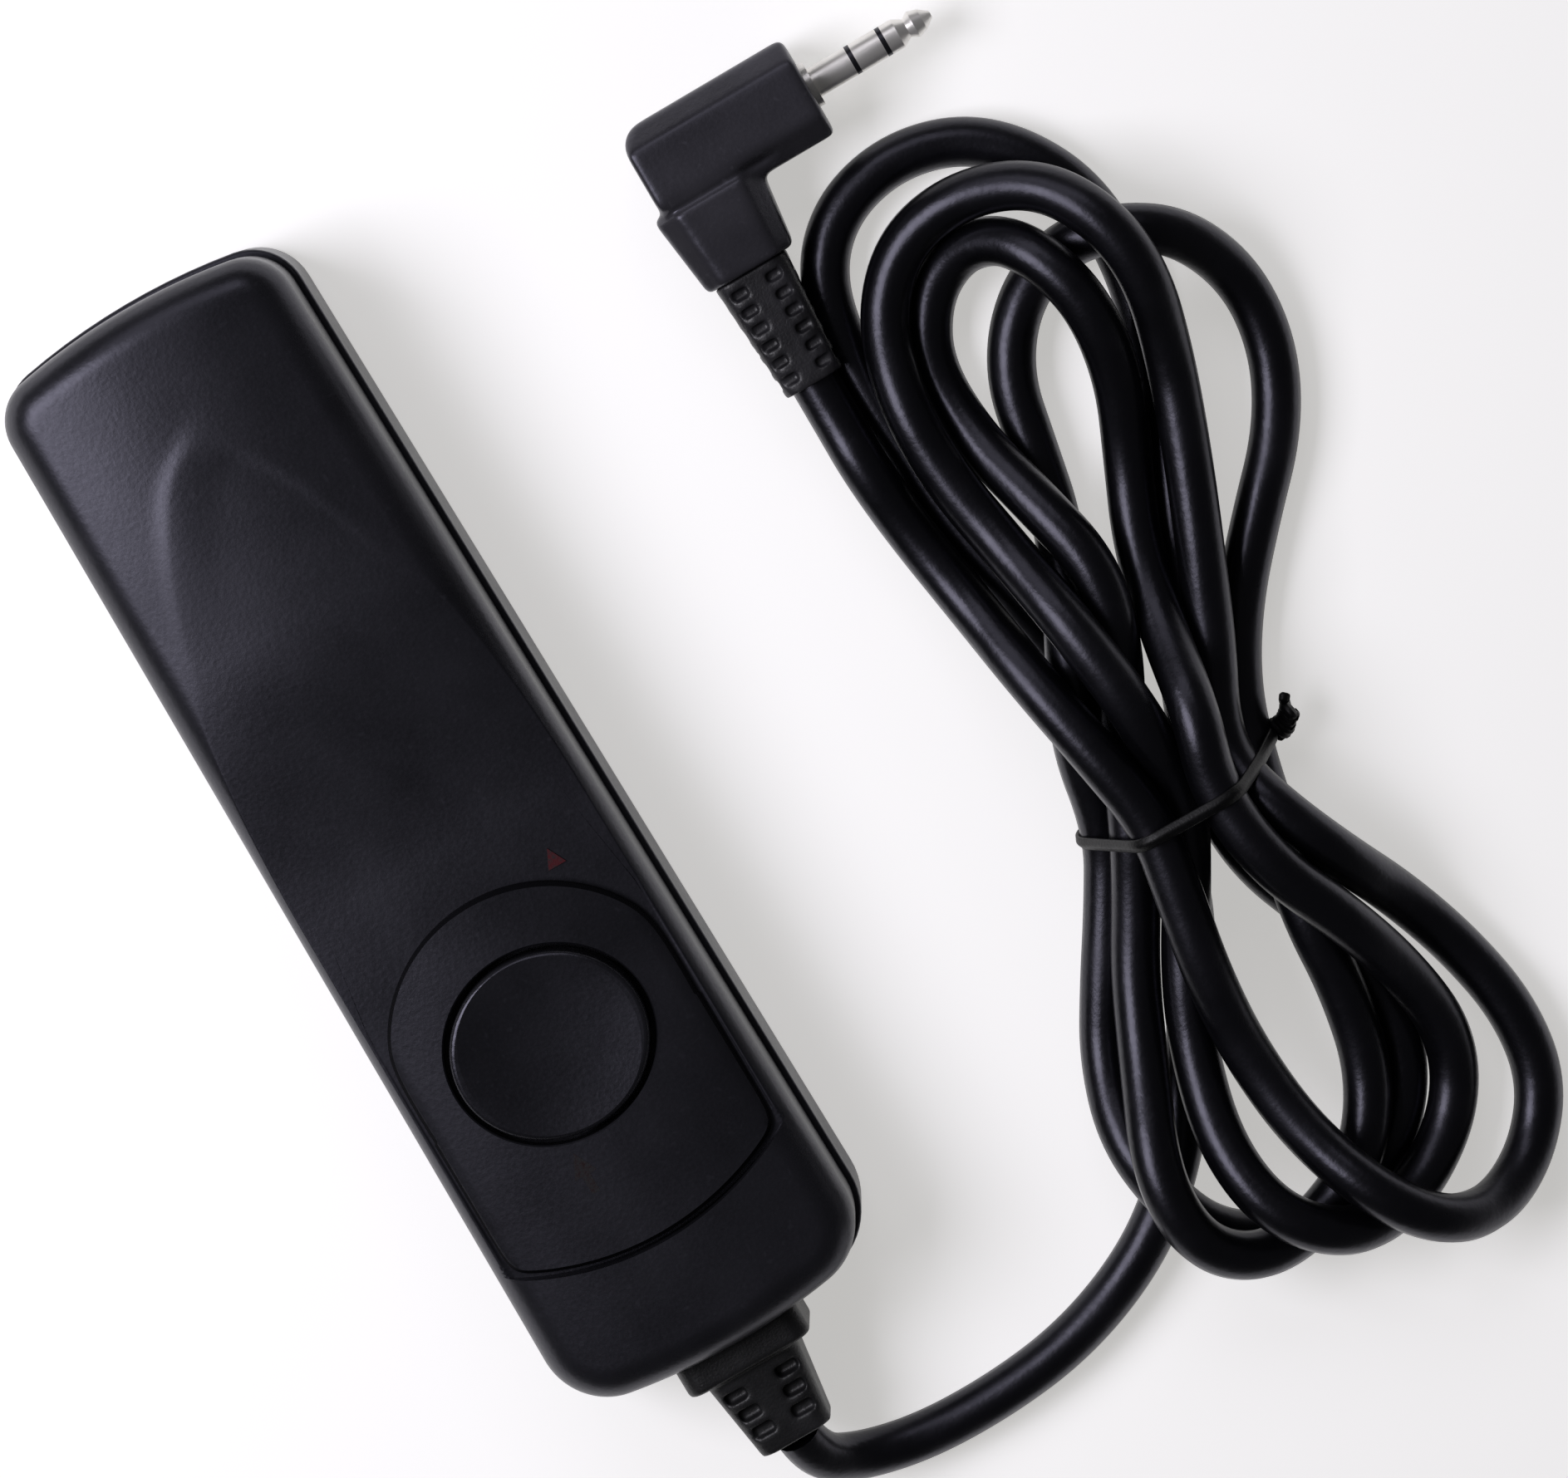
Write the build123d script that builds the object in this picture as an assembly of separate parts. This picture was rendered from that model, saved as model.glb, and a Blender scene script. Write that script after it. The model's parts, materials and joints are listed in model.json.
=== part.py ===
from build123d import *
from math import atan2, cos, degrees, radians, sin, sqrt, tan
import os

os.makedirs("parts", exist_ok=True)

# Wired remote shutter release. Millimetres, +Z up, resting on z = 0.
# +Y runs along the handset from the cord end to the far end, +X to its right.

# handset case
HANDSET_LENGTH = 96.0
HANDSET_HEIGHT = 16.6
FAR_END_NARROWING = 1.3
CASE_SIDE_MARGIN = 2.3
END_BOW = 1.6
CORNER_FAR = 4.5
CORNER_CORD = 6.0
SPLIT_Z = 7.8
COVER_INSET = 0.5
WALL = 1.6
CROWN_RADIUS = 60.0
TOP_ROUND = 2.2
BOTTOM_ROUND = 1.6
SHELL_FLOOR = 1.8
LIP_GAP = 0.12

# thumb scoop and the level track of the lock plate
SCOOP_DEPTH = 1.8
SCOOP_FROM_FAR_END = 12.5
TRACK_AHEAD_OF_BUTTON = 19.0
TRACK_THICKNESS = 1.8

# lock plate and button
BUTTON_FROM_CORD_END = 29.0
BUTTON_HALF_X = 8.1
BUTTON_HALF_Y = 7.4
BUTTON_GAP = 0.5
BUTTON_PROUD = 0.3
BUTTON_TRAVEL = 1.5
CAP_ROOF = 1.3
CAP_WALL = 1.3
SLIDE_TRAVEL = 4.0
PLATE_MARGIN = 4.1
PLATE_FRONT_EXTRA = 0.7
PLATE_REAR_RADIUS = 25.7
PLATE_BEHIND_BUTTON = 17.6
PLATE_REAR_GAP = 0.4
SLIDE_GAP = 0.12
STEM_RADIUS = 1.9
STEM_GAP = 0.25
OPENING_MARGIN = 2.1
LEG_GAP = 0.4
LEG_THICKNESS = 0.95
LEG_HALF_LENGTH = 2.5
KEEPER_THICKNESS = 1.2
KEEPER_GAP = 0.2
KEEPER_LAP = 1.0

# board and contacts
BOARD_Z = 4.0
BOARD_THICKNESS = 1.2
BOARD_HALF_WIDTH = 9.2
LEAF_THICKNESS = 0.3
LEAF_PITCH = 0.75
LEAF_HALF_WIDTH = 2.6
POINT_RADIUS = 0.8
POINT_HEIGHT = 0.15

# screws
CASE_SCREW_RADIUS = 1.0
CASE_HEAD_RADIUS = 1.9
BOSS_RADIUS = 2.2
SCREW_GAP = 0.05

# cord, its tie and the strain relief of the handset
CORD_RADIUS = 2.0
WIRE_RADIUS = 0.5
COLLAR_THICKNESS = 2.8
COLLAR_SINK = 0.6
TAIL_LENGTH = 7.3
TIE_X = 52.8
TIE_Y = -28.5
TIE_WIDTH = 1.6
TIE_THICKNESS = 0.9
WAIST_HALF = 9.0
WAIST_HEIGHT = 11.4
HANK_HEIGHT = 13.2

# plug
PLUG_X = 44.2
PLUG_Y = 35.5
PLUG_Z = 4.4
PLUG_SIZE = 8.6
PLUG_HEAD_REACH = 11.2
PLUG_NECK_LENGTH = 10.2
PLUG_TAIL_LENGTH = 10.3
COLLAR_RADIUS = 1.9
PIN_RADIUS = 1.25
PIN_LENGTH = 11.2

# places that follow from the sizes above
HALF_LENGTH = HANDSET_LENGTH / 2
PLATE_HALF_WIDTH = BUTTON_HALF_X + PLATE_MARGIN
HALF_WIDTH_CORD = PLATE_HALF_WIDTH + CASE_SIDE_MARGIN
HALF_WIDTH_FAR = HALF_WIDTH_CORD - FAR_END_NARROWING
SCOOP_START_Y = HALF_LENGTH - SCOOP_FROM_FAR_END
BUTTON_Y = BUTTON_FROM_CORD_END - HALF_LENGTH
TRACK_FRONT_Y = BUTTON_Y + TRACK_AHEAD_OF_BUTTON
PLATE_REAR_Y = BUTTON_Y - PLATE_BEHIND_BUTTON
PLATE_FRONT_RADIUS = PLATE_HALF_WIDTH + PLATE_FRONT_EXTRA
TRACK_Z = HANDSET_HEIGHT - SCOOP_DEPTH
CEILING_Z = TRACK_Z - TRACK_THICKNESS
PLATE_BOTTOM_Z = TRACK_Z + SLIDE_GAP
KEEPER_TOP_Z = CEILING_Z - KEEPER_GAP
KEEPER_BOTTOM_Z = KEEPER_TOP_Z - KEEPER_THICKNESS
CAP_TOP_Z = HANDSET_HEIGHT + BUTTON_PROUD
CAP_BOTTOM_Z = KEEPER_TOP_Z + BUTTON_TRAVEL + 0.2
CAP_ROOF_Z = CAP_TOP_Z - CAP_ROOF
OPENING_HALF = BUTTON_HALF_X + OPENING_MARGIN
LEG_OUTER_X = OPENING_HALF - LEG_GAP
LEG_INNER_X = LEG_OUTER_X - LEG_THICKNESS
KEEPER_HALF = OPENING_HALF + KEEPER_LAP
BOARD_TOP_Z = BOARD_Z + BOARD_THICKNESS
BOARD_REAR_Y = BUTTON_Y - 14.0
BOARD_FRONT_Y = BUTTON_Y + 27.0
PAD_Y = BOARD_REAR_Y + 3.0
BLOCK_Y = BUTTON_Y + 21.0
LEAF_TIP_Y = BUTTON_Y - 4.0
POINT_Y = BUTTON_Y - 2.0
LEAF_BASE_Z = BOARD_TOP_Z + 0.6
COMMON_TOP_Z = LEAF_BASE_Z + 2 * LEAF_PITCH + LEAF_THICKNESS
STEM_TIP_Z = COMMON_TOP_Z + BUTTON_TRAVEL + 0.15
CORD_AXIS_Z = SPLIT_Z
COLLAR_Y = COLLAR_SINK - HALF_LENGTH
COLLAR_END_Y = COLLAR_Y - COLLAR_THICKNESS
FLANGE_Y = COVER_INSET + WALL + 0.25 - HALF_LENGTH
RELIEF_END_Y = COLLAR_END_Y - TAIL_LENGTH
CLAMP_Y = COLLAR_Y + 5.0
CLAMP_SEAT_Z = CORD_AXIS_Z + 0.9
CLAMP_SCREW_X = CORD_RADIUS + 2.6
JACKET_END_Y = CLAMP_Y + 3.9
PLUG_FACE_X = PLUG_X + PLUG_HEAD_REACH
PLUG_NECK_END_Y = PLUG_Y - PLUG_NECK_LENGTH
PLUG_TAIL_END_Y = PLUG_NECK_END_Y - PLUG_TAIL_LENGTH
FAR_SCREW = (HALF_WIDTH_FAR - 4.6, HALF_LENGTH - 8.0)
NEAR_SCREW = (HALF_WIDTH_CORD - 4.5, 8.5 - HALF_LENGTH)
CASE_SCREWS = [(side * FAR_SCREW[0], FAR_SCREW[1]) for side in (-1, 1)]
CASE_SCREWS += [(side * NEAR_SCREW[0], NEAR_SCREW[1]) for side in (-1, 1)]
BOARD_SCREWS = [(side * (BOARD_HALF_WIDTH - 2.4), BOARD_FRONT_Y - 3.0) for side in (-1, 1)]
BOARD_POSTS = [(side * (BOARD_HALF_WIDTH - 2.4), PAD_Y) for side in (-1, 1)]
CLAMP_SCREWS = [(side * CLAMP_SCREW_X, CLAMP_Y) for side in (-1, 1)]


def save(name, shape):
    """Writes one named piece to its own file."""
    export_step(shape, f"parts/{name}.step")
    print(f"{name:24s} volume {shape.volume:10.2f}")


def box(x0, x1, y0, y1, z0, z1):
    """Returns a box between two opposite corners."""
    centre = ((x0 + x1) / 2, (y0 + y1) / 2, (z0 + z1) / 2)
    return Pos(*centre) * Box(x1 - x0, y1 - y0, z1 - z0)


def post(x, y, z0, z1, radius):
    """Returns an upright cylinder."""
    return Pos(x, y, (z0 + z1) / 2) * Cylinder(radius, z1 - z0)


def bar_y(x, z, y0, y1, radius):
    """Returns a cylinder lying along Y."""
    return Pos(x, (y0 + y1) / 2, z) * Rot(90, 0, 0) * Cylinder(radius, y1 - y0)


def bar_x(y, z, x0, x1, radius):
    """Returns a cylinder lying along X."""
    return Pos((x0 + x1) / 2, y, z) * Rot(0, 90, 0) * Cylinder(radius, x1 - x0)


def half_width(y):
    """Returns half the case width at a place along its length."""
    share = (y + HALF_LENGTH) / HANDSET_LENGTH
    return HALF_WIDTH_CORD + (HALF_WIDTH_FAR - HALF_WIDTH_CORD) * share


def case_outline(inset):
    """Returns the plan of the case as a face, drawn in by the inset all round."""
    far = HALF_WIDTH_FAR - inset
    cord = HALF_WIDTH_CORD - inset
    y_corner = HALF_LENGTH - END_BOW - inset
    y_bow = HALF_LENGTH - inset
    wire = Wire(
        [
            Line((-far, y_corner), (-cord, -y_corner)),
            ThreePointArc((-cord, -y_corner), (0, -y_bow), (cord, -y_corner)),
            Line((cord, -y_corner), (far, y_corner)),
            ThreePointArc((far, y_corner), (0, y_bow), (-far, y_corner)),
        ]
    )
    face = make_face(wire)
    upper = face.vertices().filter_by(lambda v: v.Y > 0)
    face = fillet(upper, max(CORNER_FAR - inset, 0.6))
    lower = face.vertices().sort_by(Axis.Y)[:2]
    return fillet(lower, max(CORNER_CORD - inset, 0.6))


def prism(inset, z0, z1):
    """Returns the case plan raised between two heights."""
    return Pos(0, 0, z0) * extrude(case_outline(inset), z1 - z0)


def crown(top_z):
    """Returns the long cylinder whose upper side is the crowned top."""
    return bar_y(0, top_z - CROWN_RADIUS, -HALF_LENGTH - 20, HALF_LENGTH + 20, CROWN_RADIUS)


def rear_zone(extra, z0, z1):
    """Returns everything ahead of the bowed rear edge of the lock plate."""
    radius = PLATE_REAR_RADIUS + extra
    centre_y = PLATE_REAR_Y + PLATE_REAR_RADIUS
    return post(0, centre_y, z0, z1, radius) + box(-30, 30, centre_y, HALF_LENGTH + 10, z0, z1)


def scoop():
    """Returns what the thumb scoop and the track take out of the crowned top."""
    top = HANDSET_HEIGHT
    profile = Polyline(
        (SCOOP_START_Y, top),
        (TRACK_FRONT_Y, TRACK_Z),
        (-HALF_LENGTH, TRACK_Z),
        (-HALF_LENGTH, top + 6),
        (SCOOP_START_Y, top + 6),
        close=True,
    )
    face = make_face(Plane.YZ * profile)
    wedge = Pos(-30, 0, 0) * extrude(face, 60, dir=(1, 0, 0))
    return wedge & rear_zone(PLATE_REAR_GAP, 0, top + 10)


def make_top_cover():
    """Upper half of the case: crowned, scooped, with an opening for the button."""
    cover = prism(COVER_INSET, SPLIT_Z, HANDSET_HEIGHT + 2) & crown(HANDSET_HEIGHT)
    rim = cover.edges().filter_by(lambda e: e.center().Z > TRACK_Z - 1.0)
    cover = fillet(rim, TOP_ROUND)
    cover -= scoop()
    cover -= prism(COVER_INSET + WALL, SPLIT_Z - 1, CEILING_Z)
    for x, y in CASE_SCREWS:
        cover += post(x, y, SPLIT_Z + 0.1, CEILING_Z, BOSS_RADIUS)
        cover -= post(x, y, SPLIT_Z, CEILING_Z - 0.6, CASE_SCREW_RADIUS + SCREW_GAP)
    front = BUTTON_Y + BUTTON_HALF_Y + BUTTON_GAP + SLIDE_TRAVEL
    rear = BUTTON_Y - BUTTON_HALF_Y - BUTTON_GAP
    opening = box(-OPENING_HALF, OPENING_HALF, rear, front, CEILING_Z - 1, HANDSET_HEIGHT)
    hidden = post(0, BUTTON_Y, CEILING_Z - 2, HANDSET_HEIGHT + 2, PLATE_FRONT_RADIUS - 0.55)
    cover -= opening & hidden
    cover -= lock_mark_shape()
    cover -= index_mark_shape()
    cover -= relief_cut()
    return cover


def make_bottom_shell():
    """Lower half of the case with bosses, a locating lip and the cord saddle."""
    shell = prism(0, 0, SPLIT_Z)
    shell = fillet(shell.faces().sort_by(Axis.Z)[0].edges(), BOTTOM_ROUND)
    shell = fillet(shell.faces().sort_by(Axis.Z)[-1].edges(), 0.35)
    shell -= prism(COVER_INSET + WALL, SHELL_FLOOR, SPLIT_Z + 1)
    inner = COVER_INSET + WALL
    lip = prism(inner + LIP_GAP, SPLIT_Z - 2.0, SPLIT_Z + 1.0)
    lip += prism(inner - 0.2, SPLIT_Z - 2.0, SPLIT_Z - 0.6)
    lip -= prism(inner + 0.9, SPLIT_Z - 3.0, SPLIT_Z + 2.0)
    for x, y in CASE_SCREWS:
        lip -= post(x, y, SPLIT_Z - 0.1, SPLIT_Z + 2, BOSS_RADIUS + 0.2)
    lip -= box(-5.2, 5.2, -HALF_LENGTH, FLANGE_Y + 1.5, 0, SPLIT_Z + 2)
    shell += lip
    for x, y in CASE_SCREWS:
        shell += post(x, y, SHELL_FLOOR - 0.3, SPLIT_Z - 0.1, BOSS_RADIUS)
        shell -= post(x, y, -1, SPLIT_Z, CASE_SCREW_RADIUS + 0.25)
        shell -= post(x, y, -1, SHELL_FLOOR + 0.4, CASE_HEAD_RADIUS + 0.2)
    for x, y in BOARD_SCREWS + BOARD_POSTS:
        shell += post(x, y, SHELL_FLOOR - 0.3, BOARD_Z, 1.9)
    for x, y in BOARD_SCREWS:
        shell -= post(x, y, SHELL_FLOOR + 0.2, BOARD_Z + 1, 0.8)
    reach = CLAMP_SCREW_X + 2.0
    saddle_top = CORD_AXIS_Z - 0.4
    saddle = box(-reach, reach, CLAMP_Y - 1.8, CLAMP_Y + 1.8, SHELL_FLOOR - 0.3, saddle_top)
    saddle -= bar_y(0, CORD_AXIS_Z, CLAMP_Y - 5, CLAMP_Y + 5, CORD_RADIUS)
    for x, y in CLAMP_SCREWS:
        saddle -= post(x, y, SHELL_FLOOR + 0.7, CORD_AXIS_Z, 0.75)
    shell += saddle
    shell -= relief_cut()
    shell -= label_shape()
    return shell


def relief_cut():
    """Returns the seat in the end wall that the strain relief fills."""
    flat = box(-5.7, 5.7, -HALF_LENGTH - 1, COLLAR_Y, CORD_AXIS_Z - 4.6, CORD_AXIS_Z + 4.6)
    neck = box(-4.1, 4.1, COLLAR_Y - 1, FLANGE_Y + 1.2, CORD_AXIS_Z - 3.3, CORD_AXIS_Z + 3.3)
    return flat + neck


def ladder(y0, y1, wide, narrow, tall, low):
    """Returns a tail that tapers from one rounded section to a smaller one."""
    first = Plane(origin=(0, y0, CORD_AXIS_Z), x_dir=(1, 0, 0), z_dir=(0, -1, 0))
    last = Plane(origin=(0, y1, CORD_AXIS_Z), x_dir=(1, 0, 0), z_dir=(0, -1, 0))
    return loft(
        [
            first * RectangleRounded(wide, tall, 1.6),
            last * RectangleRounded(narrow, low, 1.4),
        ]
    )


def make_handset_relief():
    """Strain relief of the handset: inner flange, neck, collar and ladder tail."""
    inner = box(-5.0, 5.0, FLANGE_Y, FLANGE_Y + 1.25, CORD_AXIS_Z - 4.2, CORD_AXIS_Z + 4.2)
    neck = box(-4.1, 4.1, COLLAR_Y - 0.2, FLANGE_Y + 0.1, CORD_AXIS_Z - 3.3, CORD_AXIS_Z + 3.3)
    collar = box(-5.6, 5.6, COLLAR_END_Y, COLLAR_Y, CORD_AXIS_Z - 4.5, CORD_AXIS_Z + 4.5)
    collar = fillet(collar.edges().filter_by(Axis.Y), 1.6)
    collar = fillet(collar.faces().sort_by(Axis.Y)[0].edges(), 0.4)
    tail = ladder(COLLAR_END_Y + 0.2, RELIEF_END_Y, 8.4, 6.4, 7.4, 5.8)
    relief = inner + neck + collar + tail
    for step in range(3):
        y = COLLAR_END_Y - TAIL_LENGTH * (0.22 + 0.24 * step)
        for side in (-1, 1):
            x = side * (2.35 - 0.28 * step)
            window = box(x - 0.95, x + 0.95, y - 0.5, y + 0.5, CORD_RADIUS + 0.45, 8)
            relief -= Pos(0, 0, CORD_AXIS_Z) * window
            relief -= Pos(0, 0, CORD_AXIS_Z) * mirror(window, Plane.XY)
    return relief - bar_y(0, CORD_AXIS_Z, RELIEF_END_Y - 1, FLANGE_Y + 3, CORD_RADIUS)


def lock_plate_plan(shrink):
    """Returns the plan of the lock plate: round front, straight sides, bowed rear."""
    half = PLATE_HALF_WIDTH - shrink
    front = Pos(0, BUTTON_Y) * Circle(PLATE_FRONT_RADIUS - shrink)
    centre_y = PLATE_REAR_Y + PLATE_REAR_RADIUS
    rear = Pos(0, centre_y) * Circle(PLATE_REAR_RADIUS - shrink)
    strip = Pos(0, BUTTON_Y - 15) * Rectangle(2 * half, 30)
    wide = Pos(0, BUTTON_Y) * Rectangle(2 * half, 80)
    plan = ((front & wide) + strip) & rear
    corners = plan.vertices().sort_by(Axis.Y)[:2]
    return fillet(corners, 1.5)


def make_lock_slide():
    """Lock plate with the button hole and two legs that reach the keeper."""
    plan = lock_plate_plan(0)
    plate = Pos(0, 0, PLATE_BOTTOM_Z) * extrude(plan, 3) & crown(HANDSET_HEIGHT - 0.1)
    hole = Ellipse(BUTTON_HALF_X + BUTTON_GAP, BUTTON_HALF_Y + BUTTON_GAP)
    plate -= Pos(0, BUTTON_Y, PLATE_BOTTOM_Z - 1) * extrude(hole, 6)
    for side in (-1, 1):
        x0, x1 = sorted((side * LEG_INNER_X, side * LEG_OUTER_X))
        y0 = BUTTON_Y - LEG_HALF_LENGTH
        y1 = BUTTON_Y + LEG_HALF_LENGTH
        plate += box(x0, x1, y0, y1, KEEPER_TOP_Z, PLATE_BOTTOM_Z + 0.5)
    plate -= lock_arrow_shape()
    return plate


def make_slide_keeper():
    """Keeper below the track: holds the lock plate down and guides the stem."""
    y0 = BUTTON_Y - BUTTON_HALF_Y - 2.0
    y1 = BUTTON_Y + BUTTON_HALF_Y + 2.0
    keeper = box(-KEEPER_HALF, KEEPER_HALF, y0, y1, KEEPER_BOTTOM_Z, KEEPER_TOP_Z)
    keeper = fillet(keeper.edges().filter_by(Axis.Z), 2.5)
    keeper -= post(0, BUTTON_Y, KEEPER_BOTTOM_Z - 1, KEEPER_TOP_Z + 1, STEM_RADIUS + STEM_GAP)
    for y in (BUTTON_Y - SLIDE_TRAVEL, BUTTON_Y):
        keeper -= post(KEEPER_HALF + 0.3, y, KEEPER_BOTTOM_Z - 1, KEEPER_TOP_Z + 1, 0.9)
    return keeper


def make_shutter_button():
    """Oval cap with a shallow dish, hollow underneath for the return spring."""
    height = CAP_TOP_Z - CAP_BOTTOM_Z
    cap = extrude(Ellipse(BUTTON_HALF_X, BUTTON_HALF_Y), height)
    cap = fillet(cap.faces().sort_by(Axis.Z)[-1].edges(), 0.45)
    dish_radius = 70.0
    cap -= Pos(0, 0, height + dish_radius - 0.38) * Sphere(dish_radius)
    hollow = Ellipse(BUTTON_HALF_X - CAP_WALL, BUTTON_HALF_Y - CAP_WALL)
    cap -= extrude(hollow, CAP_ROOF_Z - CAP_BOTTOM_Z)
    return Pos(0, BUTTON_Y, CAP_BOTTOM_Z) * cap


def make_button_stem():
    """Stem that carries the press down to the contact leaves."""
    stem = post(0, BUTTON_Y, STEM_TIP_Z, CAP_ROOF_Z, STEM_RADIUS)
    stem = fillet(stem.faces().sort_by(Axis.Z)[0].edges(), 0.6)
    return stem


def make_stem_clip():
    """Ring on the stem, under the keeper, that stops the button coming out."""
    top = KEEPER_BOTTOM_Z - 0.3
    clip = post(0, BUTTON_Y, top - 0.7, top, STEM_RADIUS + 1.2)
    return clip - post(0, BUTTON_Y, top - 2, top + 2, STEM_RADIUS)


def make_button_spring():
    """Return spring between the keeper and the roof of the cap."""
    wire = 0.18
    low = KEEPER_TOP_Z + wire + 0.06
    high = CAP_ROOF_Z - wire - 0.06
    turns = 2.0
    path = Helix(pitch=(high - low) / turns, height=high - low, radius=3.9)
    start = Plane(origin=path @ 0, z_dir=path % 0)
    coil = sweep(start * Circle(wire), path=path, is_frenet=True)
    return Pos(0, BUTTON_Y, low) * coil


def make_detent_spring():
    """Leaf on the cover wall that clicks into the notches of the keeper."""
    z0 = KEEPER_BOTTOM_Z + 0.1
    z1 = KEEPER_TOP_Z - 0.1
    wall_x = half_width(BUTTON_Y + 4) - COVER_INSET - WALL - 0.1
    leaf = box(wall_x - 0.35, wall_x, BUTTON_Y - 7, BUTTON_Y + 4, z0, z1)
    bump = post(KEEPER_HALF + 0.65, BUTTON_Y, z0, z1, 0.6)
    bump -= box(wall_x, wall_x + 3, BUTTON_Y - 3, BUTTON_Y + 3, z0 - 1, z1 + 1)
    return leaf + bump


def make_circuit_board():
    """Board that carries the contact block and takes the three wires."""
    board = box(
        -BOARD_HALF_WIDTH, BOARD_HALF_WIDTH, BOARD_REAR_Y, BOARD_FRONT_Y, BOARD_Z, BOARD_TOP_Z
    )
    board = fillet(board.edges().filter_by(Axis.Z), 1.0)
    for x, y in BOARD_SCREWS:
        board -= post(x, y, BOARD_Z - 1, BOARD_TOP_Z + 1, 1.05)
    return board


def leaf_z(level):
    """Returns the underside height of one contact leaf, counted from the lowest."""
    return LEAF_BASE_Z + level * LEAF_PITCH


def make_leaf(level):
    """One contact leaf: held in the block, reaching under the stem."""
    z = leaf_z(level)
    root = box(-3.4, 3.4, BLOCK_Y - 1.5, BLOCK_Y + 3.5, z, z + LEAF_THICKNESS)
    tongue = box(
        -LEAF_HALF_WIDTH, LEAF_HALF_WIDTH, LEAF_TIP_Y, BLOCK_Y, z, z + LEAF_THICKNESS
    )
    tongue = fillet(tongue.edges().filter_by(Axis.Z).sort_by(Axis.Y)[:2], 1.6)
    return root + tongue


def make_contact_block():
    """Moulded block that holds the three leaves apart."""
    block = box(-4.6, 4.6, BLOCK_Y - 3, BLOCK_Y + 3, BOARD_TOP_Z, COMMON_TOP_Z + 0.9)
    block = fillet(block.edges().filter_by(Axis.Z), 0.5)
    for level in range(3):
        block -= make_leaf(level)
    return block


def make_contact_points():
    """Silvered points under and on the leaves, below the stem."""
    points = []
    for level in (1, 2):
        low = leaf_z(level)
        points.append(post(0, POINT_Y, low - POINT_HEIGHT, low, POINT_RADIUS))
    for level in (0, 1):
        top = leaf_z(level) + LEAF_THICKNESS
        points.append(post(0, POINT_Y, top, top + POINT_HEIGHT, POINT_RADIUS))
    return Compound(children=points)


def screw(x, y, head_z, head_radius, head_height, shank_radius, tip_z):
    """Returns a pan screw with its head below and its tip above."""
    head = post(x, y, head_z, head_z + head_height, head_radius)
    slot = box(x - 0.25, x + 0.25, y - 1.2, y + 1.2, head_z - 1, head_z + 0.45)
    slot += box(x - 1.2, x + 1.2, y - 0.25, y + 0.25, head_z - 1, head_z + 0.45)
    shank = post(x, y, head_z + head_height - 0.05, tip_z, shank_radius)
    return head - slot + shank


def make_case_screws():
    """Four screws from the underside into the bosses of the cover."""
    head_z = SHELL_FLOOR - 0.9
    tip_z = CEILING_Z - 1.0
    size = (head_z, CASE_HEAD_RADIUS, 1.3, CASE_SCREW_RADIUS, tip_z)
    return Compound(children=[screw(x, y, *size) for x, y in CASE_SCREWS])


def down_screw(x, y, seat_z, head_radius, head_height, shank_radius, depth):
    """Returns a pan screw with its head above and its tip below."""
    head = post(x, y, seat_z, seat_z + head_height, head_radius)
    cross = box(x - 0.2, x + 0.2, y - 0.9, y + 0.9, seat_z + head_height - 0.4, seat_z + 3)
    cross += box(x - 0.9, x + 0.9, y - 0.2, y + 0.2, seat_z + head_height - 0.4, seat_z + 3)
    shank = post(x, y, seat_z - depth, seat_z + 0.05, shank_radius)
    return head - cross + shank


def make_board_screws():
    """Two screws that hold the board on its bosses."""
    size = (BOARD_TOP_Z, 1.6, 0.9, 0.75, BOARD_TOP_Z - SHELL_FLOOR - 0.5)
    return Compound(children=[down_screw(x, y, *size) for x, y in BOARD_SCREWS])


def make_cable_clamp():
    """Bridge that presses the cord into its saddle."""
    reach = CLAMP_SCREW_X + 1.8
    bridge_top = CORD_AXIS_Z + CORD_RADIUS + 1.0
    clamp = box(-reach, reach, CLAMP_Y - 1.5, CLAMP_Y + 1.5, CORD_AXIS_Z - 0.4, bridge_top)
    clamp -= bar_y(0, CORD_AXIS_Z, CLAMP_Y - 5, CLAMP_Y + 5, CORD_RADIUS)
    for side in (-1, 1):
        x0, x1 = sorted((side * (CORD_RADIUS + 1.1), side * (reach + 1)))
        clamp -= box(x0, x1, CLAMP_Y - 2, CLAMP_Y + 2, CLAMP_SEAT_Z, bridge_top + 1)
    for x, y in CLAMP_SCREWS:
        clamp -= post(x, y, CORD_AXIS_Z - 2, CORD_AXIS_Z + 3, 0.85)
    return clamp


def make_clamp_screws():
    """Two screws of the cord clamp."""
    size = (CLAMP_SEAT_Z, 1.4, 0.8, 0.7, CLAMP_SEAT_Z - SHELL_FLOOR - 1.0)
    return Compound(children=[down_screw(x, y, *size) for x, y in CLAMP_SCREWS])


def make_cord_inner():
    """Jacket of the cord inside the strain relief and the clamp."""
    return bar_y(0, CORD_AXIS_Z, RELIEF_END_Y, JACKET_END_Y, CORD_RADIUS)


def make_wire(x_start, x_end):
    """One insulated wire from the jacket end down to the board."""
    path = FilletPolyline(
        (x_start, JACKET_END_Y, CORD_AXIS_Z),
        (x_start, JACKET_END_Y + 1.6, CORD_AXIS_Z),
        (x_end, PAD_Y, CORD_AXIS_Z - 0.6),
        (x_end, PAD_Y, BOARD_TOP_Z + 0.35),
        radius=[0.6, 1.2],
    )
    start = Plane(origin=path @ 0, z_dir=path % 0)
    return sweep(start * Circle(WIRE_RADIUS), path=path)


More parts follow.
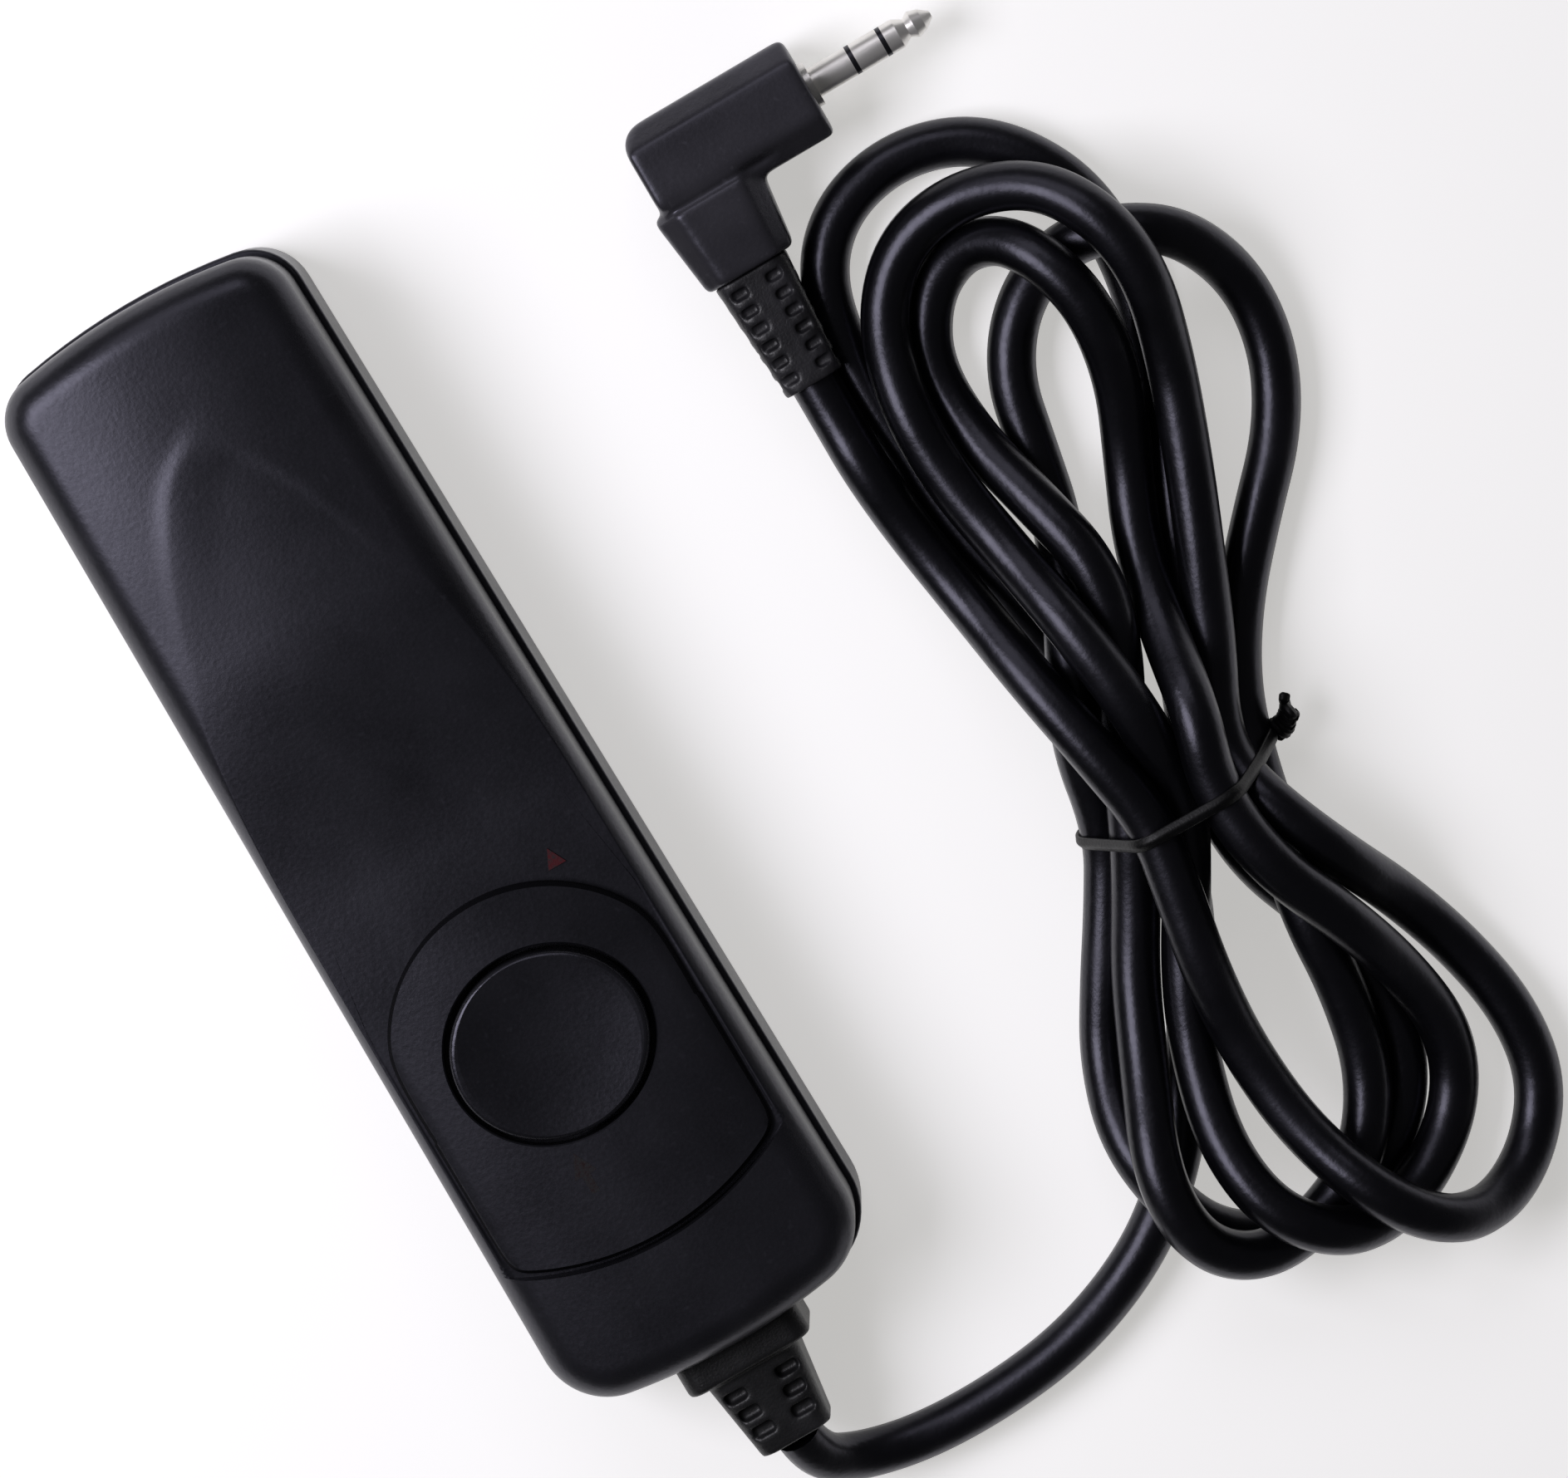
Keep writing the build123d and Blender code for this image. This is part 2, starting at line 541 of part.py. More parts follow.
def make_solder_joints():
    """Three solder cones where the wires meet the board."""
    joints = []
    for x in (-2.4, 0.0, 2.4):
        base = Pos(x, PAD_Y, BOARD_TOP_Z) * Circle(WIRE_RADIUS + 0.45)
        top = Pos(x, PAD_Y, BOARD_TOP_Z + 0.35) * Circle(WIRE_RADIUS + 0.1)
        joints.append(loft([base, top]))
    return Compound(children=joints)


def label_shape():
    """Blank label, let into the underside."""
    label = box(-8.5, 8.5, -14.0, 16.0, 0.0, 0.25)
    return fillet(label.edges().filter_by(Axis.Z), 1.2)


def lock_mark_shape():
    """Red strip in the track that shows when the lock plate is forward."""
    zone = rear_zone(-0.6, TRACK_Z - 0.25, TRACK_Z) - rear_zone(-2.6, TRACK_Z - 1, TRACK_Z + 1)
    return zone & box(-5.0, 5.0, -HALF_LENGTH, BUTTON_Y, TRACK_Z - 1, TRACK_Z)


def triangle(x, y, size, z0, z1):
    """Returns a flat triangle that points along +Y."""
    corners = Polyline(
        (x - size, y - size), (x + size, y - size), (x, y + size), close=True
    )
    return Pos(0, 0, z0) * extrude(make_face(corners), z1 - z0)


def index_mark_shape():
    """Small red pointer in the track ahead of the lock plate."""
    return triangle(7.6, BUTTON_Y + 12.6, 0.8, TRACK_Z - 0.25, TRACK_Z)


def lock_arrow_shape():
    """Small red arrow let into the lock plate behind the button."""
    y = BUTTON_Y - BUTTON_HALF_Y - 2.0
    arrow = triangle(-2.8, y, 1.0, 0, 2 * HANDSET_HEIGHT)
    arrow += box(-3.15, -2.45, y - 2.6, y - 0.6, 0, 2 * HANDSET_HEIGHT)
    skin = crown(HANDSET_HEIGHT - 0.1) - crown(HANDSET_HEIGHT - 0.3)
    return arrow & skin


# route of the cord, hand to plug: (x, y, z) of its turning points
ROUTE_FROM_HANDSET = [
    (0.0, RELIEF_END_Y, CORD_AXIS_Z),
    (0.0, RELIEF_END_Y - 6.0, CORD_AXIS_Z),
    (2.8, RELIEF_END_Y - 12.0, 6.2),
    (8.2, RELIEF_END_Y - 16.0, 4.5),
    (14.8, RELIEF_END_Y - 17.0, 3.2),
    (21.6, RELIEF_END_Y - 15.3, 2.5),
    (29.5, RELIEF_END_Y - 9.7, 2.4),
    (TIE_X - 15.8, TIE_Y - 31.0, 2.4),
]
ROUTE_TO_PLUG = [
    (PLUG_X - 0.2, PLUG_TAIL_END_Y, PLUG_Z),
    (PLUG_X - 0.2, PLUG_TAIL_END_Y - 6.0, PLUG_Z),
    (PLUG_X + 0.6, PLUG_TAIL_END_Y - 13.0, 5.2),
    (PLUG_X + 2.0, PLUG_TAIL_END_Y - 20.0, 6.4),
]


def turn_radii(points):
    """Returns the radius of each turn: 0.45 of the shorter run over tan(half the turn)."""
    radii = []
    for before, here, after in zip(points, points[1:], points[2:]):
        run_in = Vector(*here) - Vector(*before)
        run_out = Vector(*after) - Vector(*here)
        half_turn = radians(run_in.get_angle(run_out)) / 2
        radii.append(0.45 * min(run_in.length, run_out.length) / tan(half_turn))
    return radii


def tube(points, radius):
    """Returns a round cord along straight runs joined by tangent arcs."""
    radii = turn_radii(points)
    path = FilletPolyline(*points, radius=radii)
    start = Plane(origin=path @ 0, z_dir=path % 0)
    solid = sweep(start * Circle(radius), path=path)
    ideal = 3.14159 * radius**2 * path.length
    print("turn radii", [round(r, 1) for r in radii], "length", round(path.length, 1))
    print("tube volume over section times length", round(solid.volume / ideal, 4))
    return solid


# outline of the hank in plan, counted from the middle of its tie
HANK_OUTLINE = [
    (-8.6, 4.0), (-8.8, 14.0), (-9.6, 24.0), (-7.6, 36.0), (-4.6, 47.0),
    (-1.6, 53.5), (5.0, 57.6), (13.5, 55.0), (21.5, 46.0), (26.2, 35.0),
    (24.8, 22.0), (16.5, 11.5), (9.4, 4.0), (9.4, -4.0), (13.6, -15.5),
    (16.4, -28.0), (14.6, -38.0), (6.0, -44.0), (-3.0, -41.0), (-11.0, -38.6),
    (-18.2, -34.0), (-20.0, -24.0), (-16.6, -13.0), (-8.6, -4.0),
]


def hank_plan():
    """Returns the outer plan of the hank as a face."""
    points = [(TIE_X + x, TIE_Y + y) for x, y in HANK_OUTLINE]
    return make_face(Spline(*points, periodic=True))


def tie_frame(grow, half_length):
    """Returns the rounded block that the tie goes round."""
    middle = (TIE_X, TIE_Y, TIE_THICKNESS + WAIST_HEIGHT / 2)
    section = Plane(origin=middle, x_dir=(1, 0, 0), z_dir=(0, -1, 0))
    width = 2 * WAIST_HALF + 2 * grow
    height = WAIST_HEIGHT + 2 * grow
    sketch = section * RectangleRounded(width, height, 3.0 + grow)
    return extrude(sketch, half_length, both=True)


def make_hank(tubes):
    """Outer shape of the bundled cord, drawn in where the tie goes round it."""
    hank = extrude(hank_plan(), HANK_HEIGHT)
    hank = hank - (box(20, 90, TIE_Y - 2.2, TIE_Y + 2.2, -1, 20) - tie_frame(0, 2.2))
    for one in tubes:
        hank -= one
    return hank


def make_twist_tie():
    """Wire tie round the waist of the hank, with its twisted end lying beside it."""
    ring = tie_frame(TIE_THICKNESS, TIE_WIDTH / 2) - tie_frame(0, TIE_WIDTH)
    twist = box(
        TIE_X + WAIST_HALF + 0.4,
        TIE_X + WAIST_HALF + 2.4,
        TIE_Y - TIE_WIDTH / 2,
        TIE_Y + TIE_WIDTH / 2,
        4.0,
        8.0,
    )
    return ring + fillet(twist.edges().filter_by(Axis.Y), 0.6)


def make_plug_body():
    """Moulded right-angle body: head along X, neck along -Y."""
    half = PLUG_SIZE / 2
    head = box(PLUG_X - 3.9, PLUG_FACE_X, PLUG_Y - half, PLUG_Y + half, PLUG_Z - half, PLUG_Z + half)
    head = chamfer(head.edges().filter_by(Axis.X), 1.9)
    head = fillet(head.edges().filter_by(Axis.Z).sort_by(Axis.X)[:2], 2.0)
    upper = Plane(origin=(PLUG_X, PLUG_Y - 3.0, PLUG_Z), x_dir=(1, 0, 0), z_dir=(0, -1, 0))
    lower = Plane(origin=(PLUG_X, PLUG_NECK_END_Y, PLUG_Z), x_dir=(1, 0, 0), z_dir=(0, -1, 0))
    neck = loft(
        [
            upper * chamfer(Rectangle(9.6, PLUG_SIZE).vertices(), 1.9),
            lower * chamfer(Rectangle(7.8, 7.6).vertices(), 1.5),
        ]
    )
    body = head + neck
    body -= bar_x(PLUG_Y, PLUG_Z, PLUG_FACE_X - 0.8, PLUG_FACE_X + 1, COLLAR_RADIUS)
    return body


def make_plug_relief():
    """Ribbed tail of the plug, tapering to the cord."""
    y0 = PLUG_NECK_END_Y
    length = PLUG_TAIL_LENGTH
    first = Plane(origin=(PLUG_X - 0.1, y0, PLUG_Z), x_dir=(1, 0, 0), z_dir=(0, -1, 0))
    end_middle = (PLUG_X - 0.2, PLUG_TAIL_END_Y, PLUG_Z)
    last = Plane(origin=end_middle, x_dir=(1, 0, 0), z_dir=(0, -1, 0))
    tail = loft([first * RectangleRounded(6.4, 6.4, 1.5), last * RectangleRounded(5.1, 5.1, 1.5)])
    ribs = 6
    for step in range(ribs):
        y = y0 - (step + 0.8) * length / (ribs + 0.6)
        half = 3.2 - 0.65 * (y0 - y) / length
        for side in (-1, 1):
            x = PLUG_X - 0.15 + side * 1.55
            window = box(x - 0.7, x + 0.7, y - 0.4, y + 0.4, half - 0.55, 8)
            tail -= Pos(0, 0, PLUG_Z) * window
            tail -= Pos(0, 0, PLUG_Z) * mirror(window, Plane.XY)
            x0, x1 = sorted((side * (half - 0.45), side * 8))
            notch = box(x0, x1, y - 0.4, y + 0.4, -1.6, 1.6)
            tail -= Pos(PLUG_X - 0.15, 0, PLUG_Z) * notch
    return tail


def pin_part(x0, x1, radius):
    """Returns a stretch of the pin between two distances from the shoulder."""
    return bar_x(PLUG_Y, PLUG_Z, PLUG_FACE_X + x0, PLUG_FACE_X + x1, radius)


def make_plug_insulators():
    """Two insulating rings, flush with the metal of the pin."""
    return Compound(children=[pin_part(3.9, 4.3, PIN_RADIUS), pin_part(6.7, 7.1, PIN_RADIUS)])


def make_plug_tip():
    """Tip contact: a cone, a waist and a rounded point."""
    profile = Polyline(
        (7.1, 0), (7.1, PIN_RADIUS), (8.2, PIN_RADIUS), (9.0, 0.8),
        (9.6, 1.15), (10.4, 0.9), (PIN_LENGTH, 0.3), (PIN_LENGTH, 0), close=True,
    )
    solid = revolve(make_face(profile), Axis.X, 360)
    return Pos(PLUG_FACE_X, PLUG_Y, PLUG_Z) * solid


cord_a = tube(ROUTE_FROM_HANDSET, CORD_RADIUS)
cord_b = tube(ROUTE_TO_PLUG, CORD_RADIUS)

save("bottom_shell", make_bottom_shell())
save("top_cover", make_top_cover())
save("lock_slide", make_lock_slide())
save("slide_keeper", make_slide_keeper())
save("lock_mark", lock_mark_shape())
save("index_mark", index_mark_shape())
save("lock_arrow", lock_arrow_shape())
save("shutter_button", make_shutter_button())
save("button_stem", make_button_stem())
save("stem_clip", make_stem_clip())
save("button_spring", make_button_spring())
save("detent_spring", make_detent_spring())
save("circuit_board", make_circuit_board())
save("board_screws", make_board_screws())
save("contact_block", make_contact_block())
save("contact_full", make_leaf(0))
save("contact_half", make_leaf(1))
save("contact_common", make_leaf(2))
save("contact_points", make_contact_points())
save("wire_focus", make_wire(-1.1, -2.4))
save("wire_ground", make_wire(0.0, 0.0))
save("wire_shutter", make_wire(1.1, 2.4))
save("solder_joints", make_solder_joints())
save("case_screws", make_case_screws())
save("rating_label", label_shape())
save("cable_clamp", make_cable_clamp())
save("clamp_screws", make_clamp_screws())
save("cord_inner", make_cord_inner())
save("handset_strain_relief", make_handset_relief())
save("cord_from_handset", cord_a)
save("cord_hank", make_hank([cord_a, cord_b]))
save("cord_to_plug", cord_b)
save("twist_tie", make_twist_tie())
save("plug_body", make_plug_body())
save("plug_strain_relief", make_plug_relief())
save("plug_collar", pin_part(-0.8, 0.5, COLLAR_RADIUS))
save("plug_sleeve", pin_part(0.5, 3.9, PIN_RADIUS))
save("plug_insulators", make_plug_insulators())
save("plug_ring", pin_part(4.3, 6.7, PIN_RADIUS))
save("plug_tip", make_plug_tip())
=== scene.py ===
import json
import math

import bmesh
import bpy
import numpy as np
from bpy.props import FloatProperty, FloatVectorProperty, PointerProperty
from mathutils import Matrix, Vector


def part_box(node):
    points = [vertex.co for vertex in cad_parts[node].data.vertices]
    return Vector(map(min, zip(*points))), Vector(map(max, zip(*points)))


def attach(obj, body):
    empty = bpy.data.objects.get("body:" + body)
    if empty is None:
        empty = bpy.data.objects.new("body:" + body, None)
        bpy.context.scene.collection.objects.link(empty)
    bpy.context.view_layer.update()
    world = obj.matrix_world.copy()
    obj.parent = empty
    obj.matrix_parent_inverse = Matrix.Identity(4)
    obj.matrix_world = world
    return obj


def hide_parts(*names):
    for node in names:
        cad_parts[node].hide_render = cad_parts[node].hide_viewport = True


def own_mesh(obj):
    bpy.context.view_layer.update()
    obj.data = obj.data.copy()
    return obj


bl_info = {
    "name": "Cable shutter release",
    "version": (1, 0, 0),
    "blender": (4, 5, 0),
    "location": "View3D > Sidebar > Shutter release",
    "description": "Finishes a wired camera release with a tied hank of cord and a jack plug",
    "category": "Object",
}

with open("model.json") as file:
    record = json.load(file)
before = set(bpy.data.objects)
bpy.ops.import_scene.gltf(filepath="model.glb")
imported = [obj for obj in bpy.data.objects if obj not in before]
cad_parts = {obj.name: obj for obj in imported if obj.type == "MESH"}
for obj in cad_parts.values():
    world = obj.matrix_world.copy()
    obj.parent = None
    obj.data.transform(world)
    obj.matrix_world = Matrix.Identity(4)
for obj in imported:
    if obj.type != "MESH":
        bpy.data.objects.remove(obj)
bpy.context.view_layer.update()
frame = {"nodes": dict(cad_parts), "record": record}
MM = 0.001
CASE = "case"

# ---------------- sizes, in millimetres
CORD_RADIUS = 2.0
# The cord's own line: out of the handset, nine times through the tie, and into the plug's tail.
ROUTE = [
    (0.0, -57.5, 7.8), (0.1, -60.4, 6.4), (2.9, -62.7, 3.6), (8.2, -64.2, 2.1), (15.0, -64.3, 2.1),
    (21.8, -63.5, 2.1), (28.1, -61.4, 2.1), (33.5, -58.3, 2.1), (38.5, -53.5, 2.0), (43.1, -47.0, 2.0),
    (47.3, -40.1, 2.0), (49.8, -34.1, 2.0), (50.7, -28.5, 2.6), (51.2, -19.9, 1.9), (49.7, -10.0, 2.1),
    (48.1, -0.9, 2.0), (47.2, 8.9, 2.0), (47.3, 17.0, 2.0), (48.9, 22.5, 2.1), (52.6, 26.0, 2.0),
    (58.0, 27.3, 2.1), (63.5, 26.0, 2.0), (67.5, 22.5, 2.1), (70.2, 17.0, 2.0), (70.3, 10.0, 2.0),
    (68.0, 2.0, 2.1), (65.0, -6.1, 2.0), (61.0, -14.0, 2.1), (57.3, -21.0, 2.0), (54.8, -28.5, 2.7),
    (54.7, -36.1, 2.0), (57.6, -43.1, 2.1), (58.9, -50.0, 2.0), (57.7, -56.9, 2.0), (53.7, -62.0, 2.0),
    (47.9, -65.1, 2.0), (42.1, -64.5, 2.0), (37.4, -61.2, 4.8), (35.3, -56.0, 6.5), (34.6, -50.1, 4.6),
    (36.5, -44.2, 2.0), (39.6, -39.0, 2.1), (42.9, -33.9, 2.0), (46.1, -28.4, 2.4), (47.4, -20.1, 4.6),
    (51.5, -12.4, 6.8), (55.1, -5.0, 2.0), (56.4, 1.5, 2.0), (57.6, 7.6, 2.0), (61.2, 12.3, 2.1),
    (66.2, 14.6, 4.8), (70.9, 13.7, 6.5), (75.2, 10.7, 5.4), (77.6, 5.0, 2.6), (77.0, -1.4, 2.0),
    (74.0, -7.2, 2.1), (69.0, -12.4, 2.0), (64.5, -17.5, 2.1), (61.1, -23.0, 2.0), (59.2, -28.6, 2.7),
    (57.8, -35.1, 5.1), (56.4, -41.9, 6.5), (56.1, -48.6, 5.1), (54.6, -55.9, 4.4), (50.6, -61.4, 5.4),
    (44.8, -64.0, 5.7), (40.1, -64.1, 7.4), (36.9, -61.8, 8.9), (35.5, -58.0, 10.1), (36.0, -52.7, 9.9),
    (39.0, -46.1, 6.9), (42.2, -39.1, 5.4), (45.5, -33.6, 5.5), (48.2, -28.4, 6.3), (51.1, -21.5, 6.0),
    (54.6, -14.7, 7.6), (56.0, -8.5, 8.2), (54.4, -1.9, 6.4), (52.6, 4.8, 3.3), (52.5, 11.4, 1.9),
    (55.0, 16.0, 2.2), (58.5, 18.2, 3.7), (62.0, 17.9, 6.0), (64.4, 15.0, 8.4), (65.9, 9.7, 8.9),
    (65.1, 3.2, 6.3), (62.5, -2.9, 4.0), (59.6, -9.4, 4.3), (58.0, -16.2, 6.9), (57.0, -22.5, 11.3),
    (55.1, -28.6, 10.7), (56.0, -36.0, 11.1), (59.1, -43.0, 9.5), (61.2, -50.0, 5.7), (61.8, -56.6, 3.4),
    (59.2, -62.0, 3.1), (53.8, -65.7, 4.7), (48.5, -66.2, 8.3), (44.7, -63.8, 10.4), (42.0, -59.7, 10.2),
    (41.4, -53.8, 8.1), (43.1, -47.1, 6.1), (45.7, -41.0, 6.0), (49.6, -34.6, 6.1), (52.8, -28.6, 6.9),
    (53.0, -20.2, 11.1), (52.0, -12.0, 10.9), (50.5, -4.0, 6.7), (49.1, 3.5, 5.7), (49.2, 10.5, 5.6),
    (51.1, 16.8, 4.0), (55.4, 21.2, 4.8), (61.4, 22.2, 6.5), (67.0, 20.1, 8.2), (70.1, 15.4, 10.3),
    (71.0, 9.5, 9.7), (69.4, 2.5, 6.1), (66.7, -5.0, 5.9), (63.6, -12.6, 5.8), (60.8, -19.2, 5.3),
    (58.1, -24.4, 5.7), (57.4, -28.5, 6.7), (58.8, -32.9, 8.8), (61.1, -38.4, 8.0), (63.8, -44.5, 3.2),
    (66.0, -51.0, 2.0), (67.2, -57.5, 2.1), (66.4, -63.7, 2.0), (62.8, -68.3, 2.8), (58.1, -70.2, 5.8),
    (53.9, -68.5, 9.8), (50.3, -63.5, 11.6), (47.6, -56.6, 8.9), (46.8, -49.0, 7.8), (47.3, -41.6, 9.9),
    (48.6, -34.6, 10.2), (49.7, -28.5, 10.2), (48.5, -21.5, 10.3), (47.0, -14.0, 8.8), (45.7, -6.5, 4.7),
    (44.5, 1.0, 3.9), (44.0, 7.0, 5.2), (44.0, 11.3, 4.4), (44.0, 15.0, 4.4),
]
TIE_Y = -28.5


# ---------------- shader arithmetic
class Wire:
    """A shader socket written in sums: each sign adds the Math node that does it."""

    def __init__(self, finish, socket):
        self.finish, self.socket = finish, socket

    def _maths(self, operation, *values):
        return self.finish.node("ShaderNodeMath", {"operation": operation}, *values)

    def __add__(self, other):
        return self._maths("ADD", self, other)

    def __sub__(self, other):
        return self._maths("SUBTRACT", self, other)

    def __rsub__(self, other):
        return self._maths("SUBTRACT", other, self)

    def __mul__(self, other):
        return self._maths("MULTIPLY", self, other)

    def sine(self):
        return self._maths("SINE", self)

    __radd__, __rmul__ = __add__, __mul__


class Finish:
    """One material: a Principled shader whose constant sockets are set here, and the nodes that vary it."""

    def __init__(self, name, **constants):
        self.material = bpy.data.materials.new(name)
        self.material.use_nodes = True
        tree = self.material.node_tree
        self.nodes, self.links = tree.nodes, tree.links
        self.nodes.clear()
        output = self.nodes.new("ShaderNodeOutputMaterial")
        self.shader = self.nodes.new("ShaderNodeBsdfPrincipled")
        self.links.new(self.shader.outputs[0], output.inputs["Surface"])
        for socket, value in constants.items():
            self.shader.inputs[socket.replace("_", " ")].default_value = value
        self.place = self.node("ShaderNodeTexCoord", out="Object")

    def node(self, kind, settings=None, *values, out=0, **named):
        """A new node: its settings first, then the values or links of its sockets, in order or by name."""
        node = self.nodes.new(kind)
        for setting, value in (settings or {}).items():
            setattr(node, setting, value)
        sockets = list(zip(node.inputs, values))
        sockets += [(node.inputs[name.replace("_", " ")], value) for name, value in named.items()]
        for socket, value in sockets:
            if isinstance(value, Wire):
                self.links.new(value.socket, socket)
            elif value is not None:
                socket.default_value = value
        return Wire(self, node.outputs[out])

    def feed(self, socket, wire):
        """The shader's own socket follows the wire."""
        self.links.new(wire.socket, self.shader.inputs[socket])

    def noise(self, size, detail=3.0, rough=0.55):
        """Cloudy noise from 0 to 1 with lumps of this size in metres."""
        return self.node(
            "ShaderNodeTexNoise", None, Vector=self.place, Scale=1.0 / size, Detail=detail, Roughness=rough
        )

    def cells(self, size):
        """The distance from the middle of the nearest cell, in cells of this size in metres."""
        return self.node("ShaderNodeTexVoronoi", None, Vector=self.place, Scale=1.0 / size)

    def ramp(self, wire, low, high, start=0.0, end=1.0):
        """Values from start to end as the wire goes from low to high, held at both ends."""
        return self.node("ShaderNodeMapRange", None, wire, low, high, start, end)

    def mix(self, share, first, second):
        """A colour between two, by a share from 0 to 1. The node's colours are its sockets 6 and 7."""
        skipped = [None] * 5
        return self.node("ShaderNodeMix", {"data_type": "RGBA"}, share, *skipped, first, second, out=2)

    def relief(self, height, depth):
        """The wire as a height of this depth in metres on the surface."""
        bump = self.node("ShaderNodeBump", None, Strength=1.0, Distance=depth, Height=height)
        self.feed("Normal", bump)

    def axes(self):
        """The x, y and z of the place on the piece, in metres."""
        split = self.node("ShaderNodeSeparateXYZ", None, self.place).socket.node
        return [Wire(self, output) for output in split.outputs]


COOL_SHINE = (0.84, 0.83, 1.0, 1.0)  # the slightly blue glint of black plastic


def shade(colour, times):
    """A colour made lighter or darker by this number, with full opacity."""
    return tuple(min(1.0, part * times) for part in colour[:3]) + (1.0,)


def moulded_plastic(
    name, colour, roughness, grain=0.00028, depth=0.000012, cloud=0.009, spread=0.35, **constants
):
    """Moulded plastic: a fine spark-eroded grain, faint flow clouds in its colour, and handling shine."""
    finish = Finish(name, IOR=1.5, Specular_Tint=COOL_SHINE, **constants)
    flow = finish.noise(cloud, 2.0)
    fine = finish.noise(grain, 2.0, 0.6)
    pits = finish.cells(grain * 1.9)
    specks = finish.ramp(finish.noise(grain * 2.6, 1.0), 0.66, 0.78)
    tint = finish.mix(finish.ramp(flow, 0.3, 0.7), shade(colour, 1 - spread), shade(colour, 1 + spread))
    tint = finish.mix(specks * 0.35, tint, shade(colour, 2.4))
    finish.feed("Base Color", tint)
    handled = finish.ramp(finish.noise(cloud * 1.7, 3.0), 0.35, 0.7, -0.05, 0.05)
    finish.feed("Roughness", roughness + handled + (fine - 0.5) * 0.16)
    finish.relief(fine * 0.7 + pits * 0.5, depth)
    return finish.material


def cord_plastic(name, colour, roughness):
    """Soft extruded vinyl: glossy skin with slow ripples, fine draw lines and dull rubbed patches."""
    finish = Finish(name, IOR=1.5, Specular_Tint=COOL_SHINE)
    ripple = finish.noise(0.0032, 2.0)
    fine = finish.noise(0.0004, 3.0)
    rubbed = finish.ramp(finish.noise(0.011, 3.0), 0.45, 0.72)
    finish.feed("Base Color", finish.mix(rubbed * 0.6, shade(colour, 0.8), shade(colour, 2.1)))
    finish.feed("Roughness", roughness + rubbed * 0.1 + (fine - 0.5) * 0.1)
    finish.relief(ripple * 0.75 + fine * 0.25, 0.00007)
    return finish.material


def rubber(name, colour, roughness, shine=0.5):
    """Moulded soft rubber: dull, with a sandy skin and lighter bloom in places."""
    finish = Finish(name, IOR=1.5, Specular_IOR_Level=shine)
    fine = finish.noise(0.00022, 3.0)
    bloom = finish.ramp(finish.noise(0.0035, 3.0), 0.4, 0.75)
    finish.feed("Base Color", finish.mix(bloom, shade(colour, 0.75), shade(colour, 1.6)))
    finish.feed("Roughness", roughness + (fine - 0.5) * 0.2 + bloom * 0.06)
    finish.relief(fine, 0.00003)
    return finish.material


def turned_metal(name, colour, roughness, turn="X", lines=0.00006, wear=0.25, metallic=1.0):
    """Plated or bright metal: fine turning lines round one axis, hairline scuffs and duller patches."""
    finish = Finish(name, Metallic=metallic)
    along = dict(zip("XYZ", finish.axes()))[turn]
    ring = finish.node(
        "ShaderNodeTexNoise", {"noise_dimensions": "1D"}, W=along * (1.0 / lines), Detail=2.0
    )
    haze = finish.ramp(finish.noise(0.0016, 3.0), 0.35, 0.75)
    scuff = finish.ramp(finish.noise(0.00012, 4.0, 0.7), 0.62, 0.74)
    finish.feed("Base Color", finish.mix(haze * wear, shade(colour, 1.04), shade(colour, 0.72)))
    finish.feed("Roughness", roughness + haze * 0.12 + (ring - 0.5) * 0.1 + scuff * 0.14)
    finish.relief(ring * 0.6 + scuff * 0.4, 0.000004)
    return finish.material


def worn_print(name, colour, base, coverage=0.6):
    """Pad-printed ink that has rubbed thin, so that the plastic under it shows through."""
    finish = Finish(name, IOR=1.5, Specular_IOR_Level=0.3)
    gone = finish.ramp(finish.noise(0.00035, 4.0, 0.65), coverage - 0.14, coverage + 0.1)
    finish.feed("Base Color", finish.mix(gone, colour, base))
    finish.feed("Roughness", finish.ramp(gone, 0.0, 1.0, 0.42, 0.55))
    finish.relief(finish.noise(0.00015, 2.0), 0.000008)
    return finish.material


def laminate(name, colour, threads=5200.0):
    """Glass and resin board: a woven cloth showing faintly through the green lacquer."""
    finish = Finish(name, IOR=1.5, Coat_Weight=0.3)
    x, y, _ = finish.axes()
    weave = (x * threads).sine() * (y * threads).sine()
    fine = finish.noise(0.0005, 3.0)
    cloth = weave * 0.25 + fine * 0.5
    finish.feed("Base Color", finish.mix(cloth, shade(colour, 0.8), shade(colour, 1.35)))
    finish.feed("Roughness", 0.32 + fine * 0.15)
    finish.relief(weave, 0.000006)
    return finish.material


def label_film(name, colour):
    """Matt printed film with a faint fibre and darker rubbed patches."""
    finish = Finish(name, IOR=1.46)
    fine = finish.noise(0.00035, 4.0)
    rubbed = finish.ramp(finish.noise(0.004, 3.0), 0.45, 0.7)
    finish.feed("Base Color", finish.mix(rubbed * 0.35 + fine * 0.3, colour, shade(colour, 0.62)))
    finish.feed("Roughness", 0.48 + (fine - 0.5) * 0.2)
    finish.relief(fine, 0.00001)
    return finish.material


# ---------------- meshes from arrays
def grid_faces(rows, columns, closed_rows=False):
    """Four-cornered faces over a grid of points held row by row, each row's end joined to its start.

    With closed rows the last row is joined to the first as well."""
    row = np.arange(rows if closed_rows else rows - 1)[:, None]
    column = np.arange(columns)[None, :]
    next_row, next_column = (row + 1) % rows, (column + 1) % columns
    corners = [
        row * columns + column,
        row * columns + next_column,
        next_row * columns + next_column,
        next_row * columns + column,
    ]
    return np.stack([corner.ravel() for corner in corners], axis=1)


